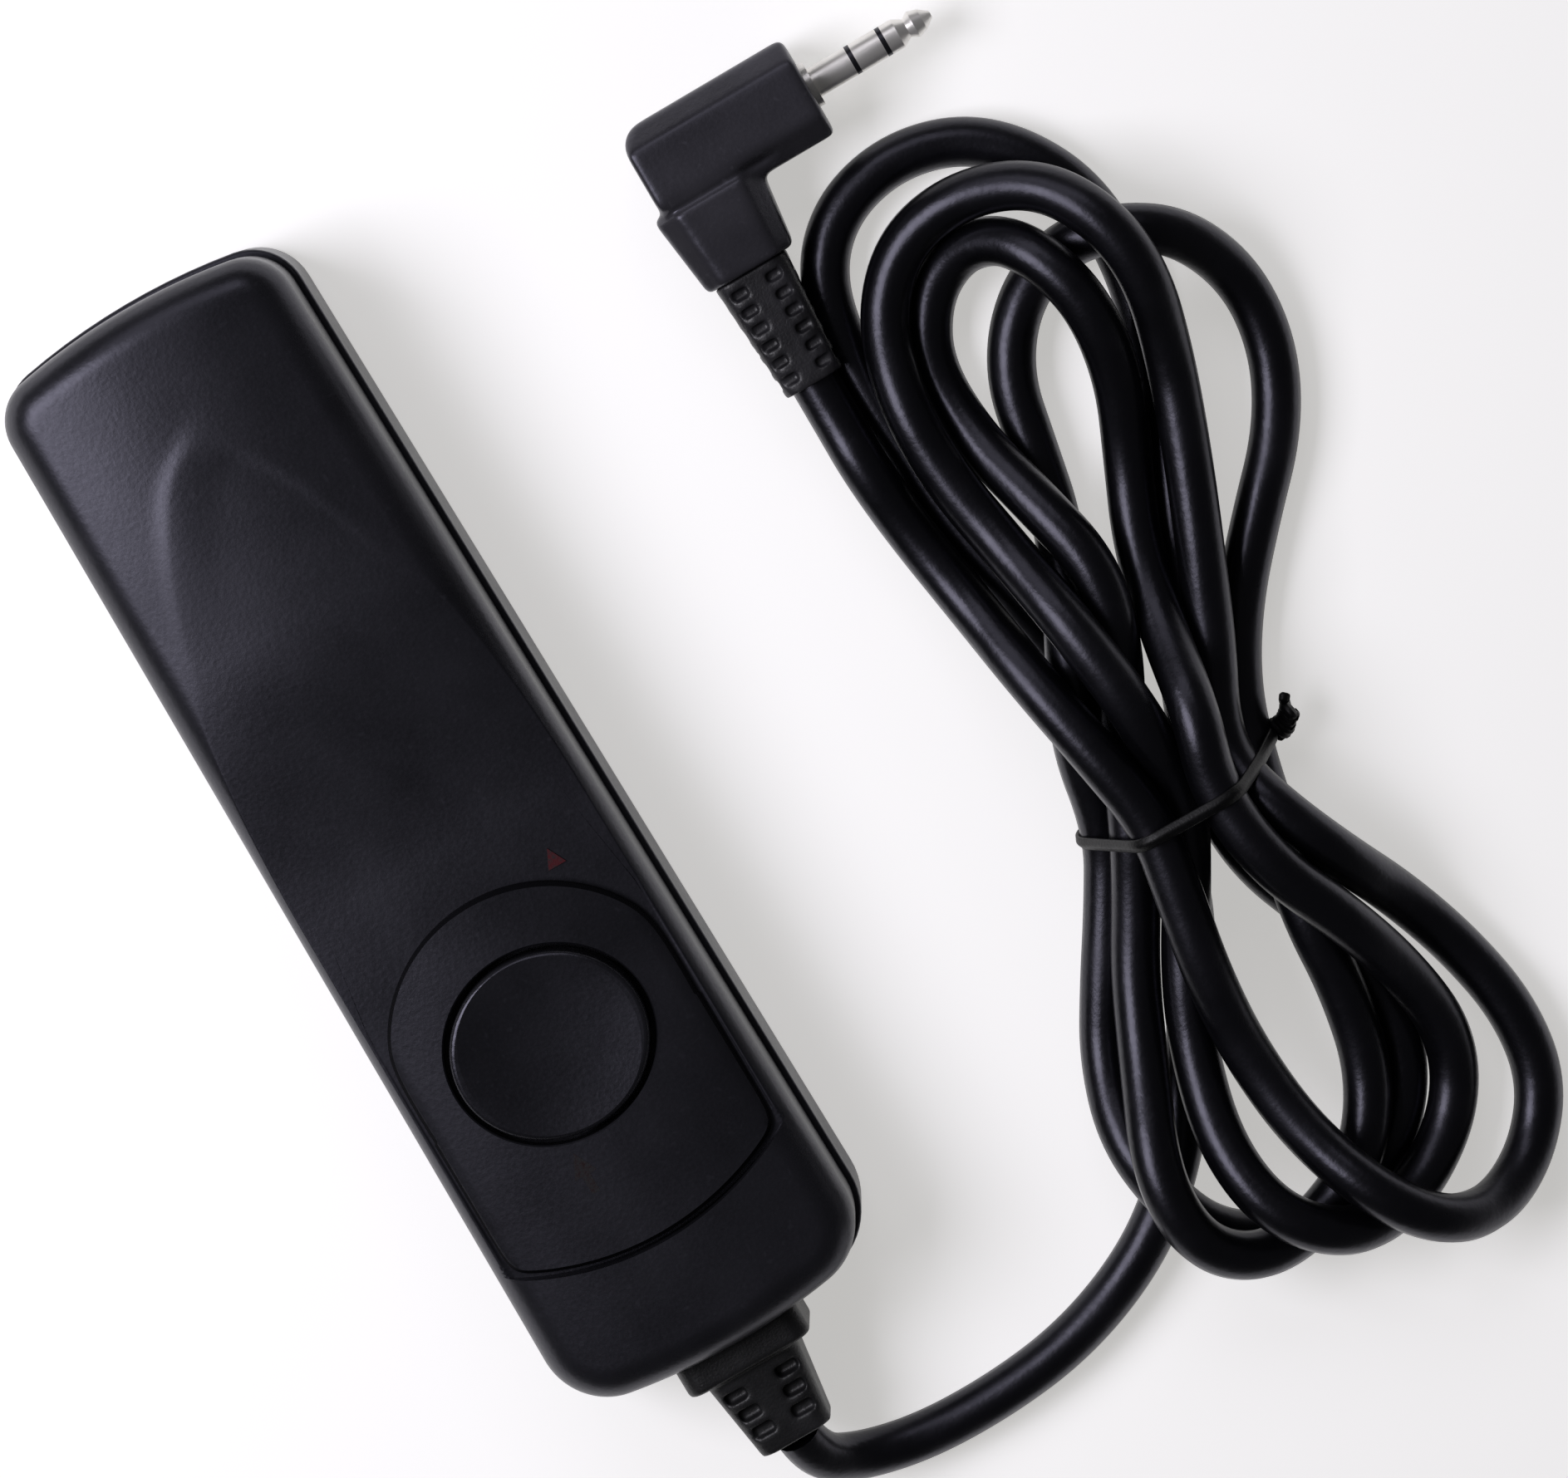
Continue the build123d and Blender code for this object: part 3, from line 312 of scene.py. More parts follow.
def mesh_piece(name, points, faces, material, body):
    """A smooth mesh object at the origin, from lists of point and face arrays, riding on a body.

    The points are in millimetres, and the faces count them through the whole list."""
    mesh = bpy.data.meshes.new(name)
    places = np.concatenate(points) * MM
    mesh.from_pydata(places.tolist(), [], [list(face) for block in faces for face in block])
    mesh.validate()
    mesh.polygons.foreach_set("use_smooth", np.ones(len(mesh.polygons), dtype=bool))
    mesh.update()
    piece = bpy.data.objects.new(name, mesh)
    bpy.context.scene.collection.objects.link(piece)
    mesh.materials.append(material)
    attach(piece, body)
    return piece


def close_up(mesh, distance=1e-7, outwards=True):
    """Joins points that lie together, and turns a closed skin's faces outwards."""
    work = bmesh.new()
    work.from_mesh(mesh)
    bmesh.ops.remove_doubles(work, verts=work.verts, dist=distance)
    if outwards:
        bmesh.ops.recalc_face_normals(work, faces=work.faces)
    work.to_mesh(mesh)
    work.free()


def body_of(node):
    """The body that a CAD part rides on."""
    bodies = frame["record"]["behaviour"]["bodies"]
    return next(body for body, nodes in bodies.items() if node in nodes)


def all_round(count):
    """Angles evenly apart all round a circle."""
    return np.linspace(0.0, 2 * np.pi, count, endpoint=False)


def heading(turn):
    """The direction at each angle: its cosine across and its sine up."""
    return np.column_stack([np.cos(turn), np.sin(turn)])


def carried(path, profile, sideways):
    """A closed profile carried along a path: point = place + side * profile across + lift * profile up.

    The side is the given direction at each place, and the lift is the path's direction crossed with it."""
    ahead = np.gradient(path, axis=0)
    ahead /= np.linalg.norm(ahead, axis=1, keepdims=True)
    side = sideways - ahead * np.sum(sideways * ahead, axis=1, keepdims=True)
    side /= np.linalg.norm(side, axis=1, keepdims=True)
    lift = np.cross(ahead, side)
    across, up = profile[..., 0:1], profile[..., 1:2]
    return path[:, None, :] + side[:, None, :] * across + lift[:, None, :] * up


def capped(strip, first):
    """The points and faces of a tube of rings, both its ends filled to their middles.

    The faces count the points from the number given."""
    rows, count = strip.shape[:2]
    ring = np.arange(count)
    following = (ring + 1) % count
    low = np.stack([following, ring, np.full(count, rows * count)], axis=1)
    last = (rows - 1) * count
    high = np.stack([ring + last, following + last, np.full(count, rows * count + 1)], axis=1)
    points = [strip.reshape(-1, 3), strip[[0, -1]].mean(axis=1)]
    return points, [grid_faces(rows, count) + first, low + first, high + first]


def smoothed(points, times):
    """Each point of a closed line moved half-way to the mean of its two neighbours, this many times."""
    for _ in range(times):
        points = 0.5 * points + 0.25 * (np.roll(points, 1, axis=0) + np.roll(points, -1, axis=0))
    return points


def evenly(count, line, *others):
    """A closed line with this many points evenly apart along it, and other values at its points with it."""
    closed = [np.concatenate([part, part[:1]]) for part in (line, *others)]
    steps = np.linalg.norm(np.diff(closed[0], axis=0), axis=1)
    run = np.concatenate([[0.0], np.cumsum(steps)])
    wanted = np.linspace(0.0, run[-1], count + 1)[:-1]
    return [np.stack([np.interp(wanted, run, values) for values in part.T], axis=1) for part in closed]


def eased(share):
    """A share held between 0 and 1 and eased at both ends: 3 s^2 - 2 s^3."""
    share = np.clip(share, 0.0, 1.0)
    return share**2 * (3 - 2 * share)


# ---------------- settings that a user would change
class CordSettings(bpy.types.PropertyGroup):
    diameter: FloatProperty(
        name="Diameter", description="Thickness of the cord", default=2 * CORD_RADIUS * MM,
        min=0.0005, unit="LENGTH", precision=4,
    )
    length: FloatProperty(
        name="Length", description="Length of the cord from the handset to the plug",
        default=0.95, min=0.1, unit="LENGTH",
    )
    colour: FloatVectorProperty(
        name="Colour", description="Colour of the cord's vinyl", subtype="COLOR", size=4,
        default=(0.0024, 0.0024, 0.0032, 1.0), min=0.0, max=1.0,
    )


class CaseSettings(bpy.types.PropertyGroup):
    colour: FloatVectorProperty(
        name="Colour", description="Colour of the handset's plastic", subtype="COLOR", size=4,
        default=(0.0098, 0.0098, 0.0118, 1.0), min=0.0, max=1.0,
    )
    roughness: FloatProperty(
        name="Roughness", description="How dull the handset's plastic is", default=0.34,
        min=0.0, max=1.0, subtype="FACTOR",
    )
    ink: FloatVectorProperty(
        name="Ink", description="Colour of the small printed marks", subtype="COLOR", size=4,
        default=(0.06, 0.002, 0.006, 1.0), min=0.0, max=1.0,
    )


class PlugSettings(bpy.types.PropertyGroup):
    colour: FloatVectorProperty(
        name="Moulding", description="Colour of the plug's moulding", subtype="COLOR", size=4,
        default=(0.03, 0.029, 0.034, 1.0), min=0.0, max=1.0,
    )
    plating: FloatVectorProperty(
        name="Plating", description="Colour of the plug's contacts", subtype="COLOR", size=4,
        default=(0.88, 0.86, 0.82, 1.0), min=0.0, max=1.0,
    )


class StageSettings(bpy.types.PropertyGroup):
    floor: FloatProperty(
        name="Floor", description="How pale the floor is", default=0.9, min=0.0, max=1.0, subtype="FACTOR",
    )
    lights: FloatProperty(
        name="Lights", description="How bright the soft lights are", default=1.0, min=0.0,
    )


# ---------------- camera
VIEW_CENTRE = (27.63, -8.17, 8.0)
VIEW_TILT = (0.07, 0.095, 1.0)
VIEW_RIGHT = (0.8635, -0.5043, 0.0)
VIEW_WIDTH = 125.0
CAMERA_AWAY = 450.0


class RELEASE_OT_camera(bpy.types.Operator):
    """Sets the camera a little towards the far end and the hank from straight above"""

    bl_idname = "release.camera"
    bl_label = "Camera"

    def execute(self, context):
        back = Vector(VIEW_TILT).normalized()
        right = Vector(VIEW_RIGHT)
        right = (right - back * right.dot(back)).normalized()
        up = back.cross(right)
        data = bpy.data.cameras.new("view")
        data.sensor_fit, data.sensor_width = "HORIZONTAL", 36.0
        data.lens = data.sensor_width * CAMERA_AWAY / VIEW_WIDTH
        data.clip_start, data.clip_end = 0.01, 20.0
        camera = bpy.data.objects.new("view", data)
        place = (Vector(VIEW_CENTRE) + back * CAMERA_AWAY) * MM
        turn = Matrix((right, up, back)).transposed().to_4x4()
        camera.matrix_world = Matrix.Translation(place) @ turn
        context.scene.collection.objects.link(camera)
        context.scene.camera = camera
        return {"FINISHED"}


# ---------------- cord and tie
CORD_STEPS, CORD_SIDES = 9, 6


class RELEASE_OT_cord(bpy.types.Operator):
    """Lays the cord from the handset, nine times through the tie, and into the plug's tail"""

    bl_idname = "release.cord"
    bl_label = "Cord"

    def execute(self, context):
        settings = context.scene.release_cord
        curve = bpy.data.curves.new("release_cord", "CURVE")
        curve.dimensions = "3D"
        line = curve.splines.new("NURBS")
        places = np.asarray(ROUTE) * MM
        line.points.add(len(places) - 1)
        line.points.foreach_set("co", np.column_stack([places, np.ones(len(places))]).ravel())
        line.order_u = 3
        line.use_endpoint_u = True
        line.resolution_u = CORD_STEPS
        curve.resolution_u = curve.render_resolution_u = CORD_STEPS
        curve.bevel_depth = settings.diameter / 2
        curve.bevel_resolution = CORD_SIDES
        curve.use_fill_caps = True
        cord = bpy.data.objects.new("release_cord", curve)
        context.scene.collection.objects.link(cord)
        curve.materials.append(cord_plastic("cord_vinyl_black", settings.colour, 0.3))
        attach(cord, CASE)
        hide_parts("cord_from_handset", "cord_hank", "cord_to_plug")
        tie = make_tie()
        return {"FINISHED"}


TIE_GAP, TIE_FLOOR_GAP = 0.12, 0.02
TIE_HALF_WIDTH, TIE_FILM = 0.56, 0.14
TIE_WIRE, TIE_WIRE_SPREAD = 0.32, 0.36
TIE_SQUARENESS = 0.35
TIE_BOW, TIE_MIDDLE_Z = 0.9, 6.0
TIE_POINTS = 160
KNOT_Z, KNOT_TURNS, KNOT_POINTS = 5.6, 2.6, 60
KNOT_START, KNOT_REACH = 0.35, (1.9, 1.4, 1.6)
KNOT_SWAY, KNOT_SWAY_RATE = 0.1, 5.0
KNOT_RADIUS, KNOT_SPLAY, KNOT_SPLAY_FROM = 0.62, 0.3, 0.8
KNOT_LEAN, KNOT_STRIP = 0.15, (0.8, 1.5)


def tie_profile(count=20):
    """A flat strip with a round wire up its middle.

    Its half thickness is the film's, plus what the wire adds times a bell of the place across."""
    turn = all_round(count)
    across = np.cos(turn)
    bell = np.exp(-((across * TIE_HALF_WIDTH / TIE_WIRE_SPREAD) ** 2))
    thick = TIE_FILM + (TIE_WIRE - TIE_FILM) * bell
    up = np.sign(np.sin(turn)) * np.abs(np.sin(turn)) ** TIE_SQUARENESS
    return np.stack([across * TIE_HALF_WIDTH, up * thick], axis=1)


def tie_loop():
    """The line drawn tight round the strands.

    In each direction it is the farthest strand, plus the cord's radius and half the tie that way."""
    route = np.asarray(ROUTE)
    strands = route[np.abs(route[:, 1] - TIE_Y) < 0.25][:, [0, 2]]
    way = heading(all_round(720))
    farthest = strands[np.argmax(strands @ way.T, axis=0)]
    loop = farthest + way * (CORD_RADIUS + TIE_WIRE + TIE_GAP)
    loop[:, 1] = np.maximum(loop[:, 1], TIE_WIRE + TIE_FLOOR_GAP)
    bow = TIE_Y - TIE_BOW * np.clip((loop[:, 1] - TIE_MIDDLE_Z) / TIE_MIDDLE_Z, -1.0, 1.0)
    return evenly(TIE_POINTS, np.stack([loop[:, 0], bow, loop[:, 1]], axis=1))[0]


def knot_end(start, side):
    """One end of the tie, a helix that opens at its tip, and the strip's direction along it."""
    along = np.linspace(0.0, 1.0, KNOT_POINTS)
    turned = side + along * KNOT_TURNS * 2 * np.pi
    wide = KNOT_RADIUS + KNOT_SPLAY * np.clip((along - KNOT_SPLAY_FROM) / (1 - KNOT_SPLAY_FROM), 0, 1)
    sway = KNOT_SWAY * np.sin(along * KNOT_SWAY_RATE)
    path = np.column_stack(
        [
            start[0] + KNOT_START + KNOT_REACH[0] * along + sway,
            start[1] + wide * np.cos(turned) + KNOT_REACH[1] * along**2,
            start[2] + wide * np.sin(turned) + KNOT_REACH[2] * along,
        ]
    )
    across = np.column_stack([np.full(KNOT_POINTS, KNOT_LEAN), -np.sin(turned), np.cos(turned)])
    return path, across


def make_tie():
    """The tie round the waist of the hank: a closed loop of strip, and two ends twisted together."""
    loop = smoothed(tie_loop(), 3)
    outermost = np.abs(loop[:, 0] - loop[:, 0].max())
    knot = int(np.argmin(outermost + 0.05 * np.abs(loop[:, 2] - KNOT_Z)))
    profile = tie_profile()
    rows = np.roll(loop, -knot, axis=0)
    wrapped = np.concatenate([rows[-1:], rows, rows[:1]])
    band = carried(wrapped, profile, np.tile([0.0, 1.0, 0.0], (len(wrapped), 1)))[1:-1]
    points = [band.reshape(-1, 3)]
    faces = [grid_faces(len(rows), len(profile), closed_rows=True)]
    for side in (0.0, np.pi):
        path, across = knot_end(rows[0], side)
        strip = carried(path, profile * np.array(KNOT_STRIP), across)
        end_points, end_faces = capped(strip, sum(len(block) for block in points))
        points += end_points
        faces += end_faces
    vinyl = rubber("tie_vinyl_black", (0.0016, 0.0016, 0.002, 1.0), 0.42, 0.28)
    tie = mesh_piece("cord_tie", points, faces, vinyl, CASE)
    close_up(tie.data)
    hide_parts("twist_tie")
    return tie


# ---------------- handset mouldings, in millimetres
HALF_LENGTH = 48.0
HALF_WIDTH_FAR, HALF_WIDTH_CORD = 13.2, 14.5
END_BOW = 1.6
CORNER_FAR, CORNER_CORD = 4.5, 6.0
COVER_INSET, WALL, TOP_ROUND = 0.5, 1.6, 2.9
CROWN_EDGE = 0.9
SPLIT_Z, CEILING_Z, TOP_Z = 7.8, 13.0, 16.6
CROWN_RADIUS = 60.0
TRACK_Z = 14.8
SCOOP_APEX, SCOOP_BEND, TRACK_FRONT = 35.3, 20.0, -1.5
SCOOP_FALL = 0.0127
FLOOR_RADIUS, TRACK_RADIUS = 82.0, 260.0
REAR_CENTRE, REAR_RADIUS = -10.9, 26.1
OPENING_MIDDLE = (0.0, -17.0)
OPENING_HALF_X, OPENING_REAR, OPENING_FRONT = 10.2, -26.9, -7.1
OPENING_ROUND, BUTTON_Y = 12.25, -19.0
RAIL_X, RAIL_WIDTH, RAIL_END_Y, RAIL_RUN = 12.35, 0.45, -10.0, 5.0
# The scoop's lip, on the left side and on the right: its height, and its width in the scoop and out of it.
LIP_HEIGHT, LIP_INSIDE, LIP_OUTSIDE = (0.13, 0.11), (3.6, 0.6), (0.75, 2.35)
LIP_START_Y, LIP_RUN = 18.0, 13.0
MIDDLE_X, MIDDLE_RUN = -2.0, 5.0
SOFT_CORNER = 0.02
PLATE_HALF_X, PLATE_FRONT_RADIUS, PLATE_REAR_RADIUS = 12.2, 12.9, 25.7
PLATE_HOLE = (8.6, 7.9)
PLATE_CHAMFER, PLATE_UNDER_CROWN, PLATE_BOTTOM_Z = 0.3, 0.115, 14.92
PLATE_EDGE_SHARE, PLATE_LEAST, PLATE_SIDE_LEAST, PLATE_FRONT_SINE = 0.8, 0.23, 0.05, -0.2
PLATE_HOLE_ROUND, PLATE_SQUARENESS, FAR_AWAY = 0.12, 30.0, 60.0
PLATE_COLUMNS, PLATE_ROWS = 480, 24
SPRING_TURNS, SPRING_RADIUS, SPRING_WIRE = 2.0, 3.9, 0.18
SPRING_Z, SPRING_SEAT_Z, SPRING_PRESSED_SHARE = (12.86, 15.54), 12.8, 0.46
SPRING_POINTS, SPRING_SIDES = 140, 12
LEG_X, LEG_HALF_Y, LEG_Z = (8.85, 9.8), 2.5, (12.8, 15.3)
PLUG_HEAD_FLAT, PLUG_SEAM_END, PLUG_SEAM_DEPTH = 7.5, 4.5, 0.35
PLUG_SEAM_WIDTH, PLUG_SEAM_FADE, PLUG_SEAM_RISE = 0.32, 1.5, 2.0
COLUMNS, TOP_ROWS, ROUND_ROWS = 560, 124, 8
STEP_SHARE, STEP_LIMIT, STEP_GAP, STEP_GAP_SHARE = 0.7, 0.97, 0.1, 0.3
FRONT_SINE, FRONT_RUN = -0.1, 0.5
SPLIT_ROUND, WALL_SHARES = 0.12, (0.4, 0.75, 1.0)
COVER_SHARP, PLATE_SHARP = math.radians(38), math.radians(32)
BOW_POINTS, CORNER_POINTS = 160, 120


def case_plan(count):
    """Points and outward directions round the case's plan, evenly apart.

    Two straight sides, two bowed ends, and corner arcs that touch both: an arc's middle lies one corner
    radius inside the side, and the bow's radius less the corner's from the middle of the bow."""
    points, ways = [], []
    side = np.array([HALF_WIDTH_FAR - HALF_WIDTH_CORD, 2 * (HALF_LENGTH - END_BOW)])
    side /= np.linalg.norm(side)
    out = np.array([side[1], -side[0]])
    reach = np.array([HALF_WIDTH_CORD, END_BOW - HALF_LENGTH]) @ out
    for end, half, corner in ((1.0, HALF_WIDTH_FAR, CORNER_FAR), (-1.0, HALF_WIDTH_CORD, CORNER_CORD)):
        bow = (half**2 + END_BOW**2) / (2 * END_BOW)
        middle = np.array([0.0, end * (HALF_LENGTH - bow)])
        foot = out * (reach - corner) - middle
        slide = foot @ side
        along = -slide + end * math.sqrt(slide**2 - foot @ foot + (bow - corner) ** 2)
        centre = middle + foot + side * along
        touch = math.atan2(centre[0] - middle[0], end * (centre[1] - middle[1]))
        straight = math.atan2(out[0], end * out[1])
        turns = np.linspace(0.0, touch, BOW_POINTS), np.linspace(touch, straight, CORNER_POINTS)
        bow_way, corner_way = (np.column_stack([np.sin(turn), end * np.cos(turn)]) for turn in turns)
        place = np.concatenate([middle + bow * bow_way, centre + corner * corner_way[1:]])
        way = np.concatenate([bow_way, corner_way[1:]])
        points.append(place if end > 0 else place[::-1])
        ways.append(way if end > 0 else way[::-1])
    right, right_way = np.concatenate(points), np.concatenate(ways)
    flip = np.array([-1.0, 1.0])
    loop = np.concatenate([right, (right * flip)[-2:0:-1]])
    way = np.concatenate([right_way, (right_way * flip)[-2:0:-1]])
    loop, way = evenly(count, loop, way)
    return loop, way / np.linalg.norm(way, axis=1, keepdims=True)


def edge_drop(x, y):
    """How far the rounded edge has fallen: a quarter circle of the distance in from the case's plan.

    The distance is taken square to the plan at its nearest point."""
    plan, way = case_plan(COLUMNS)
    inset = np.empty_like(x)
    for row in range(len(x)):
        apart = (x[row][:, None] - plan[None, :, 0]) ** 2 + (y[row][:, None] - plan[None, :, 1]) ** 2
        near = np.argmin(apart, axis=1)
        inset[row] = (plan[near, 0] - x[row]) * way[near, 0] + (plan[near, 1] - y[row]) * way[near, 1]
    into = np.clip(COVER_INSET + TOP_ROUND - inset, 0.0, TOP_ROUND)
    return TOP_ROUND - np.sqrt(TOP_ROUND**2 - into**2)


def crown_height(x):
    """The crowned top: the upper side of a long cylinder."""
    return TOP_Z - CROWN_RADIUS + np.sqrt(CROWN_RADIUS**2 - x**2)


def scoop_depth(y):
    """How far the scoop's middle line lies below the crown.

    It falls straight from its apex, then eases down to the track."""
    fall = SCOOP_FALL * (SCOOP_APEX - y)
    span = SCOOP_BEND - TRACK_FRONT
    share = np.clip((SCOOP_BEND - y) / span, 0.0, 1.0)
    start = SCOOP_FALL * (SCOOP_APEX - SCOOP_BEND)
    lead = share * (1 - share) ** 2 * SCOOP_FALL * span
    return np.where(y > SCOOP_BEND, fall, start + (TOP_Z - TRACK_Z - start) * eased(share) + lead)


def between(pair, share):
    """The first of a pair at a share of 0, and the second at 1."""
    return pair[0] + (pair[1] - pair[0]) * share


def cover_height(x, y, rim):
    """The cover's outer height: the lower of the crown and the scoop, with a soft lip where they meet.

    The scoop's floor is the crown less its depth, on a flatter cylinder. The lip is a bell of the distance
    from the line where the two meet. rim is how far the rounded edge has dropped at this place."""
    crown = crown_height(x) - rim
    ease = eased((SCOOP_BEND - y) / (SCOOP_BEND - TRACK_FRONT))
    bulge = between((0.5 / FLOOR_RADIUS, 0.5 / TRACK_RADIUS), ease)
    floor = TOP_Z - scoop_depth(y) - bulge * x**2
    inside = (np.hypot(x, y - REAR_CENTRE) <= REAR_RADIUS + 0.01) | (y > REAR_CENTRE)
    gap = crown_height(x) - floor
    steep = np.hypot(2 * x * (0.5 / CROWN_RADIUS - bulge), SCOOP_FALL)
    away = gap / steep
    right = eased((x - MIDDLE_X) / MIDDLE_RUN)
    wide = np.where(away > 0, between(LIP_INSIDE, right), between(LIP_OUTSIDE, right))
    tall = between(LIP_HEIGHT, right) * eased((y - LIP_START_Y) / LIP_RUN)
    lip = tall * np.exp(-((away / wide) ** 2)) * np.exp(-rim)
    rail = eased((np.abs(x) - RAIL_X) / RAIL_WIDTH) * eased((RAIL_END_Y - y) / RAIL_RUN)
    floor = floor + np.maximum(crown - floor, 0.0) * rail
    blend = 0.5 * (crown + floor) - 0.5 * np.sqrt((crown - floor) ** 2 + SOFT_CORNER**2)
    return np.where(inside, blend + lip, crown)


def opening_edge(turn):
    """The opening under the lock plate, as a distance in each direction from its middle.

    It is the least of a rectangle's sides and ends and a circle round the button."""
    cosine, sine = np.cos(turn), np.sin(turn)
    sides = OPENING_HALF_X / np.maximum(np.abs(cosine), 1e-6)
    ends = np.where(sine > 0, OPENING_FRONT - OPENING_MIDDLE[1], OPENING_MIDDLE[1] - OPENING_REAR)
    ends = ends / np.maximum(np.abs(sine), 1e-6)
    off = OPENING_MIDDLE[1] - BUTTON_Y
    circle = np.sqrt(OPENING_ROUND**2 - (off * cosine) ** 2) - off * sine
    return np.minimum(np.minimum(sides, ends), circle)


def top_reach(edge, middle):
    """The crown's points and the opening's outline: straight lines from the opening to the round.

    One row of points lies on the step, the arc behind the lock plate where the scoop's floor ends. In
    front it fades into an even share of each line."""
    ray = edge - middle
    far = np.linalg.norm(ray, axis=1)
    turn = np.arctan2(ray[:, 1], ray[:, 0])
    unit = ray / far[:, None]
    near = opening_edge(turn)
    shift = np.array([0.0, middle[1] - REAR_CENTRE])
    lean = unit @ shift
    step = -lean + np.sqrt(lean**2 - shift @ shift + REAR_RADIUS**2)
    step_share = np.minimum((step - near) / (far - near), STEP_LIMIT)
    front = eased((np.sin(turn) - FRONT_SINE) / FRONT_RUN)
    step_share = step_share * (1 - front) + STEP_SHARE * front
    inner_rows = int(TOP_ROWS * STEP_SHARE)
    low = np.linspace(0.0, 1.0, inner_rows)[:, None] * step_share
    outward = np.linspace(0.0, 1.0, TOP_ROWS - inner_rows + 1)[1:, None]
    high = step_share + (1 - step_share) * outward
    first = np.minimum(STEP_GAP / (far - near), (1 - step_share) * STEP_GAP_SHARE)
    share = np.concatenate([low, (step_share + first)[None], high])
    reach = near + (far - near) * share
    return middle + unit * reach[..., None], middle + unit * near[:, None]


def make_cover(material):
    """The upper moulding as one closed skin: crown, round, outer wall, split face, inner wall and ceiling.

    Every ring has the plan's directions. A ring at an inset is the plan less that much of its outward
    direction. The last ring is the opening's outline, and joins the crown's first."""
    plan, way = case_plan(COLUMNS)

    def ring(place, height):
        return np.column_stack([place, np.broadcast_to(height, len(place))])

    top = COVER_INSET + TOP_ROUND
    top_place, hole = top_reach(plan - way * CROWN_EDGE, np.array(OPENING_MIDDLE))
    x, y = top_place[..., 0], top_place[..., 1]
    crown = np.dstack([x, y, cover_height(x, y, edge_drop(x, y))])
    rounded = []
    for angle in np.linspace(math.asin((top - CROWN_EDGE) / TOP_ROUND), np.pi / 2, ROUND_ROWS)[1:]:
        place = plan - way * (top - TOP_ROUND * math.sin(angle))
        drop = TOP_ROUND * (1 - math.cos(angle))
        rounded.append(ring(place, cover_height(place[:, 0], place[:, 1], drop)))
    wall_top = rounded[-1][:, 2]
    wall_fall = SPLIT_Z + SPLIT_ROUND - wall_top
    outer = plan - way * COVER_INSET
    wall = [ring(outer, wall_top + wall_fall * part) for part in WALL_SHARES]
    wall.append(ring(outer - way * SPLIT_ROUND, SPLIT_Z))
    inner = plan - way * (COVER_INSET + WALL)
    inside = [ring(inner, height) for height in (SPLIT_Z, 0.5 * (SPLIT_Z + CEILING_Z), CEILING_Z)]
    inside += [ring(place, CEILING_Z) for place in (0.5 * (hole + inner), hole)]
    rings = np.concatenate([crown, rounded, wall, inside])
    faces = grid_faces(len(rings), COLUMNS, closed_rows=True)
    cover = mesh_piece("handset_cover", [rings.reshape(-1, 3)], [faces], material, CASE)
    close_up(cover.data)
    cover.data.set_sharp_from_angle(angle=COVER_SHARP)
    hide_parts("top_cover")


def plate_edge(turn):
    """The lock plate's outline as a distance from the button's middle in each direction.

    It is the soft least of a front circle, two straight sides and a bowed rear: the root of the sum of
    their powers."""
    cosine, sine = np.cos(turn), np.sin(turn)
    sides = PLATE_HALF_X / np.maximum(np.abs(cosine), 1e-3)
    off = BUTTON_Y - REAR_CENTRE
    rear = np.sqrt(PLATE_REAR_RADIUS**2 - (off * cosine) ** 2) - off * sine
    front = np.where(sine > PLATE_FRONT_SINE, PLATE_FRONT_RADIUS, FAR_AWAY)
    rear = np.where(sine < 0.0, rear, FAR_AWAY)
    power = -PLATE_SQUARENESS
    return (sides**power + rear**power + front**power) ** (1 / power)


